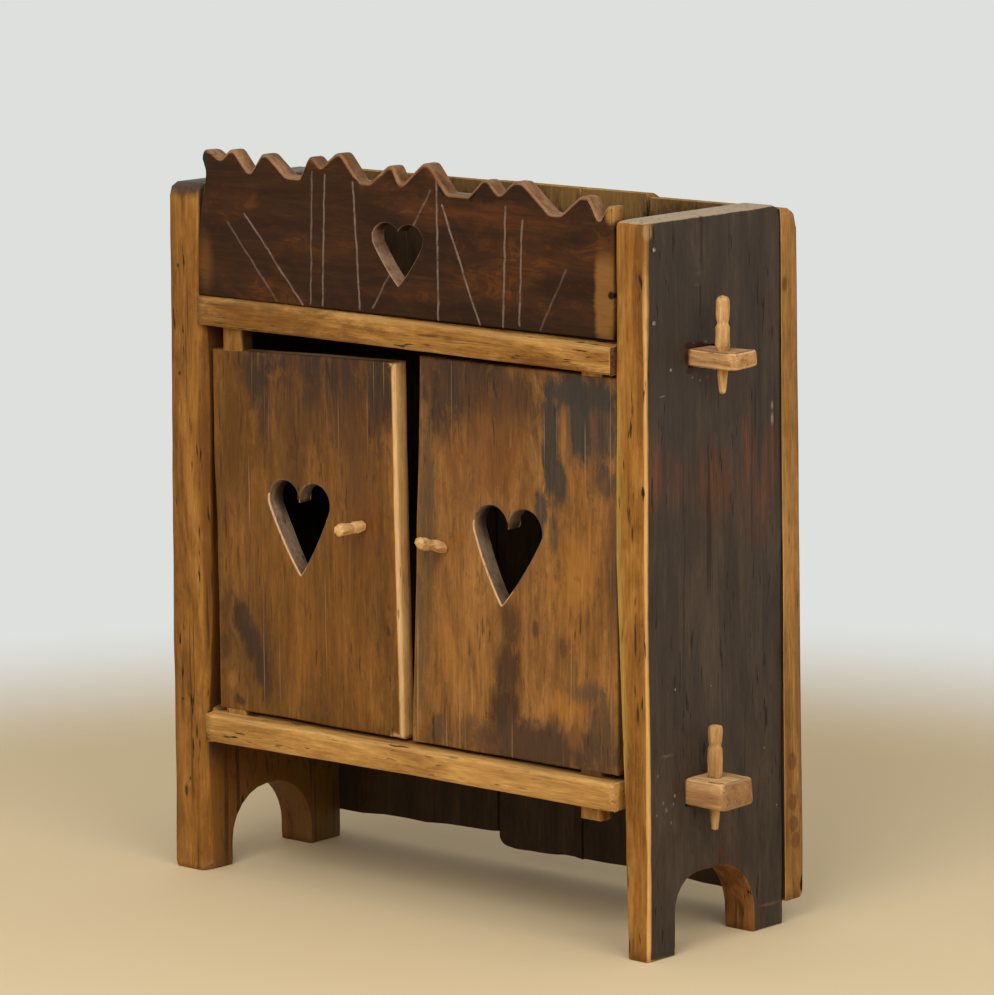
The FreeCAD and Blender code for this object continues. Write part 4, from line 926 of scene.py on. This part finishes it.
def door_skin(corners, heart, middle, seed, free_arris, free_share, flare, top):
    """Skin of a door. Its free edge has an arris of its own and keeps the free share of its wear, the other
    edges keep less. The walls of the heart are marked as sawn, the left one flares towards the back, and a
    painted highlight shows as a pale rim at the lower left, where light falls on it."""
    face, cells = door_face(corners, heart, middle, seed)
    front_arris = np.where(np.abs(face[:, 0]) < FREE_EDGE, free_arris, 0.0022)
    points, cells, edge, arris = board(face, cells, DOOR_LOW, DOOR_HIGH, front_arris, seed, far_arris=0.0020)
    x, z = (points[:, :2] - middle).T
    pierced = np.hypot(x, z) < 0.078
    depth = np.clip((points[:, 2] - DOOR_LOW) / (DOOR_HIGH - DOOR_LOW), 0, 1)
    points[:, 0] += flare * depth * (pierced & (edge > 0.5)) * np.clip(-x / 0.03, 0, 1)
    free = (np.abs(points[:, 0]) < FREE_EDGE) & (points[:, 1] < top + 0.008)
    kept = np.where(free, free_share, 0.3)
    # A painted highlight on the heart's rim at the lower left, where light falls on it.
    pale = np.where((x < 0.004 - 0.1 * z) & (z < 0.02), 1.1, 0.35)
    edge = np.where(pierced, np.where(edge > ON_WALL, SAWN, 0.0), edge * kept)
    return laid((points, cells, edge, arris * np.where(pierced, pale, kept)), "XZY")


def tongue(x, low, high, seed):
    """Pivot of a door: its section is a square grid, nearly as thick as the door and a little narrower towards
    its two faces, carried from low to high."""
    side = np.linspace(-1, 1, 9)
    back = side[:, None]
    section, cells = gridded(x + 0.0140 * side * (1 - 0.08 * back ** 4), PIVOT_Y + 0.0092 * back)
    return board(section, cells, low, high, 0.0011, seed, 0.0001)


# Painted shade on the inner flank of the upper left tongue, under the shelf, and at the root of the lower
# right one, in the gap under the door.
tongue_painted_shade = [
    blot((-230, 16, 600), (4, 30, 50), (58, 34, 15), 0.9, 0.6, 0.1),
    blot((250, 16, 186), (30, 30, 12), (74, 46, 22), 0.9, 0.6, 0.1)]
tongue_wood = waxed_wood(
    "tongue_wood", "Z", tones=((132, 90, 40), (164, 118, 58), (190, 144, 80)),
    rubbed=((120, 80, 36), (156, 110, 54), (184, 138, 76)), crest=(204, 158, 92), smoke=(96, 62, 28),
    smoke_share=0.4, pits=0.4, polish=0.55, late_marks=tongue_painted_shade)
UMBER, SLATE, AMBER, OLIVE, DUSK = (62, 42, 27), (58, 52, 46), (164, 108, 44), (90, 57, 14), (58, 41, 29)
# Each stain: across, height, its reach each way, tone, strength, core, rag and veined.
LEFT_STAINS = (
    (-115, 535, 135, 75, (80, 50, 27), 0.80, 0.45, 1.0, 0.5),
    (-225, 250, 60, 80, (82, 55, 25), 0.65, 0.2, 1.0, 0.4), (-110, 580, 170, 45, DUSK, 0.90, 0.2, 1.0, 0.4),
    (-210, 553, 36, 40, DUSK, 0.95, 0.3, 0.8, 0.2), (-36, 545, 34, 70, DUSK, 0.95, 0.3, 0.8, 0.2),
    (-110, 545, 60, 40, DUSK, 0.60, 0.2, 1.0, 0.6), (-245, 480, 36, 140, OLIVE, 0.90, 0.2, 1.0, 0.3),
    (-200, 520, 14, 70, DUSK, 0.75, 0.2, 0.8, 0.3), (-75, 475, 65, 70, (90, 57, 32), 0.65, 0.2, 1.0, 0.4),
    (-150, 455, 22, 45, DUSK, 0.55, 0.2, 1.0, 0.5), (-60, 400, 40, 90, (104, 62, 32), 0.60, 0.2, 1.0, 0.4),
    (-258, 290, 20, 34, UMBER, 0.65, 0.2, 1.0, 0.2), (-236, 282, 19, 30, UMBER, 0.95, 0.4, 0.6, 0.1),
    (-222, 260, 18, 30, UMBER, 0.95, 0.4, 0.6, 0.1), (-210, 236, 14, 28, UMBER, 0.90, 0.4, 0.6, 0.1),
    (-202, 212, 11, 25, UMBER, 0.75, 0.4, 0.6, 0.1), (-258, 250, 18, 28, UMBER, 0.60, 0.2, 1.0, 0.2),
    (-253, 214, 11, 13, (140, 98, 44), 0.80, 0.4, 0.5, 0.0), (-242, 193, 12, 8, UMBER, 0.80, 0.4, 0.5, 0.0),
    (-110, 280, 70, 80, (136, 88, 36), 0.40, 0.2, 1.0, 0.3))
RIGHT_STAINS = (
    (150, 200, 150, 34, (82, 57, 37), 0.75, 0.4, 1.0, 0.2),
    (130, 545, 115, 65, (88, 56, 30), 0.60, 0.4, 1.0, 0.4),
    (240, 550, 70, 62, (76, 60, 47), 0.75, 0.4, 0.8, 0.2),
    (20, 300, 14, 110, (92, 70, 42), 0.70, 0.3, 0.8, 0.3), (65, 570, 80, 66, DUSK, 0.95, 0.4, 0.8, 0.2),
    (145, 565, 75, 55, DUSK, 0.85, 0.2, 0.8, 0.3), (40, 525, 30, 40, DUSK, 0.70, 0.2, 1.0, 0.4),
    (115, 495, 85, 80, (108, 66, 32), 0.75, 0.2, 1.0, 0.2),
    (28, 420, 20, 150, (84, 66, 43), 0.85, 0.3, 0.8, 0.3),
    (85, 440, 26, 60, (104, 68, 40), 0.50, 0.2, 1.0, 0.4), (197, 525, 12, 75, SLATE, 0.95, 0.6, 0.5, 0.1),
    (236, 545, 18, 50, SLATE, 0.95, 0.6, 0.5, 0.1), (240, 578, 65, 24, SLATE, 0.95, 0.5, 0.6, 0.1),
    (270, 545, 20, 55, SLATE, 0.85, 0.4, 0.7, 0.4), (208, 482, 12, 30, SLATE, 0.95, 0.6, 0.5, 0.1),
    (184, 452, 11, 34, SLATE, 0.90, 0.5, 0.6, 0.2), (200, 430, 8, 30, SLATE, 0.70, 0.5, 0.6, 0.3),
    (266, 490, 20, 24, SLATE, 0.80, 0.4, 0.7, 0.3), (278, 400, 9, 130, SLATE, 0.70, 0.3, 0.7, 0.4),
    (140, 325, 21, 34, UMBER, 0.75, 0.3, 0.7, 0.2), (136, 275, 24, 45, UMBER, 0.90, 0.4, 0.6, 0.1),
    (132, 232, 30, 35, UMBER, 0.95, 0.4, 0.6, 0.1), (185, 202, 110, 36, (76, 54, 38), 0.95, 0.4, 0.7, 0.1),
    (245, 268, 36, 18, (86, 65, 52), 0.75, 0.3, 0.8, 0.1),
    (43, 203, 16, 22, (82, 65, 46), 0.75, 0.3, 0.8, 0.1),
    (264, 220, 30, 60, (80, 60, 42), 0.90, 0.4, 0.8, 0.2), (176, 325, 6, 14, UMBER, 0.70, 0.4, 0.3, 0.0),
    (213, 310, 7, 14, UMBER, 0.65, 0.4, 0.4, 0.0), (231, 384, 6, 4, UMBER, 0.70, 0.4, 0.2, 0.0),
    (222, 355, 40, 55, AMBER, 0.60, 0.2, 1.0, 0.3), (212, 247, 30, 18, AMBER, 0.85, 0.2, 0.8, 0.2),
    (226, 217, 12, 20, (128, 84, 42), 0.70, 0.3, 0.6, 0.2), (60, 285, 30, 55, AMBER, 0.45, 0.2, 1.0, 0.4),
    (232, 410, 36, 60, AMBER, 0.65, 0.2, 1.0, 0.3), (214, 530, 6, 40, (150, 102, 58), 0.85, 0.4, 0.4, 0.1))
for side, hand, seed, shape, (low, low_end, high_start, high), tones, stains in (
        ("left", -1, 101,
         dict(corners=[(-0.2705, 0.184), (-0.0060, 0.184), (-0.0145, 0.5835), (-0.2765, 0.5755)],
              heart=heart_line(-0.152, 0.343, 0.086, 0.099, 0.0015, 0.78), middle=np.array([-0.1515, 0.406]),
              free_arris=0.0042, free_share=1.0, flare=0.0045),
         (0.1475, 0.187, 0.5725, 0.624), ((86, 53, 17), (116, 74, 26), (142, 95, 39)), LEFT_STAINS),
        ("right", 1, 111,
         dict(corners=[(0.0055, 0.184), (0.2840, 0.1855), (0.2830, 0.5945), (0.0195, 0.5930)],
              heart=heart_line(0.1385, 0.344, 0.090, 0.102, -0.009, 0.78), middle=np.array([0.1365, 0.409]),
              free_arris=0.0024, free_share=0.5, flare=0.0015),
         (0.136, 0.188, 0.5915, 0.624), ((108, 70, 33), (142, 95, 45), (168, 117, 61)), RIGHT_STAINS)):
    heart_x, heart_z = 1000 * shape["middle"]
    marks = [blot((x, 0, z), (w, 40, h), *rest) for x, z, w, h, *rest in stains]
    # Painted shade on the heart's upper left wall, a pale worn top, a warm stripe behind the free edges.
    late = [blot((heart_x - 30, 22, heart_z + 20), (30, 13, 30), (40, 29, 21), 0.85, 0.4, 0.2),
            blot((hand * 145, 19, 1000 * high_start + 10.5), (170, 13, 11), (158, 132, 97), 0.9, 0.4, 0.1),
            blot((-8, 26, 380), (12, 8, 300), (116, 72, 32), 0.8, 0.3, 0.1)]
    wax = waxed_wood(
        f"{side}_door_wax", "Z", tones, rubbed=((172, 124, 68), (204, 157, 96), (224, 179, 116)),
        crest=(216, 174, 126), smoke=(80, 54, 28), smoke_share=0.45,
        sawn=((84, 64, 48), (112, 90, 72), (138, 114, 94)), crest_share=0.85, marks=marks, late_marks=late,
        polish=0.42, mottled=0.5, hairs=0.25, grainy=0.5, shift=(0.5 * hand, 0, 0.2))
    skins = [door_skin(seed=seed, top=high_start, **shape),
             tongue(hand * PIVOT_X + 0.002, high_start, high, seed + 3),
             tongue(hand * PIVOT_X, low, low_end, seed + 4)]
    door = f"{side}_door"
    make(f"{side}_heart_door", skins, [wax, tongue_wood, tongue_wood], door, [door])

# Door knobs
# Two whittled pegs of a like pale wood, with a swollen end, a waist and a shank that is driven into the door.
# The right one leans up a little.
KNOB_TONES = ((186, 138, 80), (216, 170, 108), (236, 196, 138))
# Height above the door's face and radius, from the end of the shank to the end of the knob.
KNOB_STATIONS = ((-0.020, 0.0040), (0.0, 0.0044), (0.0005, 0.0066), (0.0095, 0.0073), (0.0165, 0.0068),
                 (0.0190, 0.0056), (0.0220, 0.0066), (0.0300, 0.0077), (0.0372, 0.0073), (0.0400, 0.0060))
knob_wood = waxed_wood(
    "knob_wood", "Y", KNOB_TONES, KNOB_TONES, crest=KNOB_TONES[2], smoke=(166, 112, 62), smoke_share=0.45,
    polish=0.55, pit_scale=420.0, figure=120.0, grainy=0.4)
for side, x, z, lean, seed in (("left", -0.060, 0.406, 0.0, 121), ("right", 0.0525, 0.3957, 0.26, 125)):
    points, *rest = whittled(KNOB_STATIONS, 7, seed, blunt=0.03, rough=0.075)
    lift = lean * np.clip(points[:, 2], 0, None)
    turned = np.column_stack([points[:, 0] + x, DOOR_LOW - points[:, 2], points[:, 1] + z + lift])
    make(f"{side}_whittled_knob", [(turned, *rest)], [knob_wood], f"{side}_door", [f"{side}_door_knob"])

# Floor, light and camera
# A plain pale floor that fades to a pale wall tone behind, soft light from the front and above, and a camera
# where the photograph was taken.
FLOOR_HALF, WALL_TONE = 60, (222, 224, 221)


def seen(tree):
    """One where a ray comes from the camera, a gloss or through glass, and nought for light on things."""
    ray = add(tree, "LightPath").outputs
    glossy = reckon(tree, "MAXIMUM", ray["Is Camera Ray"], ray["Is Glossy Ray"])
    return reckon(tree, "MAXIMUM", glossy, ray["Is Transmission Ray"])


def stood(thing, place, back, roll=0.0):
    """A lamp or camera stood at a place. Its back points along a direction, its right side is level and its
    top up, and then it is rolled by an angle."""
    back = back / np.linalg.norm(back)
    right = np.cross((0, 0, 1), back)
    right = right / np.linalg.norm(right)
    up = np.cross(back, right)
    turn = np.eye(4)
    turn[:3, 0] = right * np.cos(roll) + up * np.sin(roll)
    turn[:3, 1] = up * np.cos(roll) - right * np.sin(roll)
    turn[:3, 2], turn[:3, 3] = back, place
    stand = bpy.data.objects.new(thing.name, thing)
    stand.matrix_world = Matrix(turn.tolist())
    bpy.context.scene.collection.objects.link(stand)
    return stand


floor_mesh = bpy.data.meshes.new("floor")
floor_corners = [(x * FLOOR_HALF, y * FLOOR_HALF, 0) for x, y in ((-1, -1), (1, -1), (1, 1), (-1, 1))]
floor_mesh.from_pydata(floor_corners, [], [(0, 1, 2, 3)])
floor = bpy.data.objects.new("floor", floor_mesh)
bpy.context.scene.collection.objects.link(floor)
floor_paint = bpy.data.materials.new("floor_paint")
tree = blank(floor_paint)
away = steer(tree, "DISTANCE", add(tree, "TexCoord").outputs["Object"], (0.1, -0.1, 0))
far_off = reckon(tree, "MULTIPLY", ease(tree, away, 0.95, 1.75), seen(tree))
near = add(tree, "BsdfPrincipled", {"Base Color": colour(236, 212, 168), "Roughness": 0.7,
                                    "Specular IOR Level": 0.2})
wall = add(tree, "Emission", {"Color": colour(*WALL_TONE), "Strength": 1.0})
mixed = add(tree, "MixShader", {0: far_off, 1: near.outputs[0], 2: wall.outputs[0]})
add(tree, "OutputMaterial", {"Surface": mixed.outputs[0]})
floor_mesh.materials.append(floor_paint)

world = bpy.data.worlds.new("studio")
bpy.context.scene.world = world
tree = blank(world)
light = add(tree, "Background", {"Color": (1.0, 0.98, 0.95, 1.0), "Strength": 0.42})
backdrop = add(tree, "Background", {"Color": colour(*WALL_TONE), "Strength": 1.0})
mixed = add(tree, "MixShader", {0: seen(tree), 1: light.outputs[0], 2: backdrop.outputs[0]})
add(tree, "OutputWorld", {"Surface": mixed.outputs[0]})

for name, place, size, power in (("window", (0.9, -2.6, 2.4), 2.0, 56), ("room", (3.2, -1.2, 2.4), 2.4, 46)):
    lamp = bpy.data.lights.new(name, "AREA")
    lamp.size, lamp.energy = size, power
    stood(lamp, place, np.array(place) - (0, 0, 0.4))

camera = bpy.data.cameras.new("camera")
camera.lens, camera.sensor_width, camera.sensor_fit = 188.61, 36.0, "AUTO"
turn, tilt, roll = np.radians([40.638, 9.604, -0.289])
behind = np.array([np.sin(turn) * np.cos(tilt), -np.cos(turn) * np.cos(tilt), np.sin(tilt)])
bpy.context.scene.camera = stood(camera, (3.5487, -4.08835, 1.3453), behind, roll)
bpy.context.scene.view_settings.view_transform = "Standard"
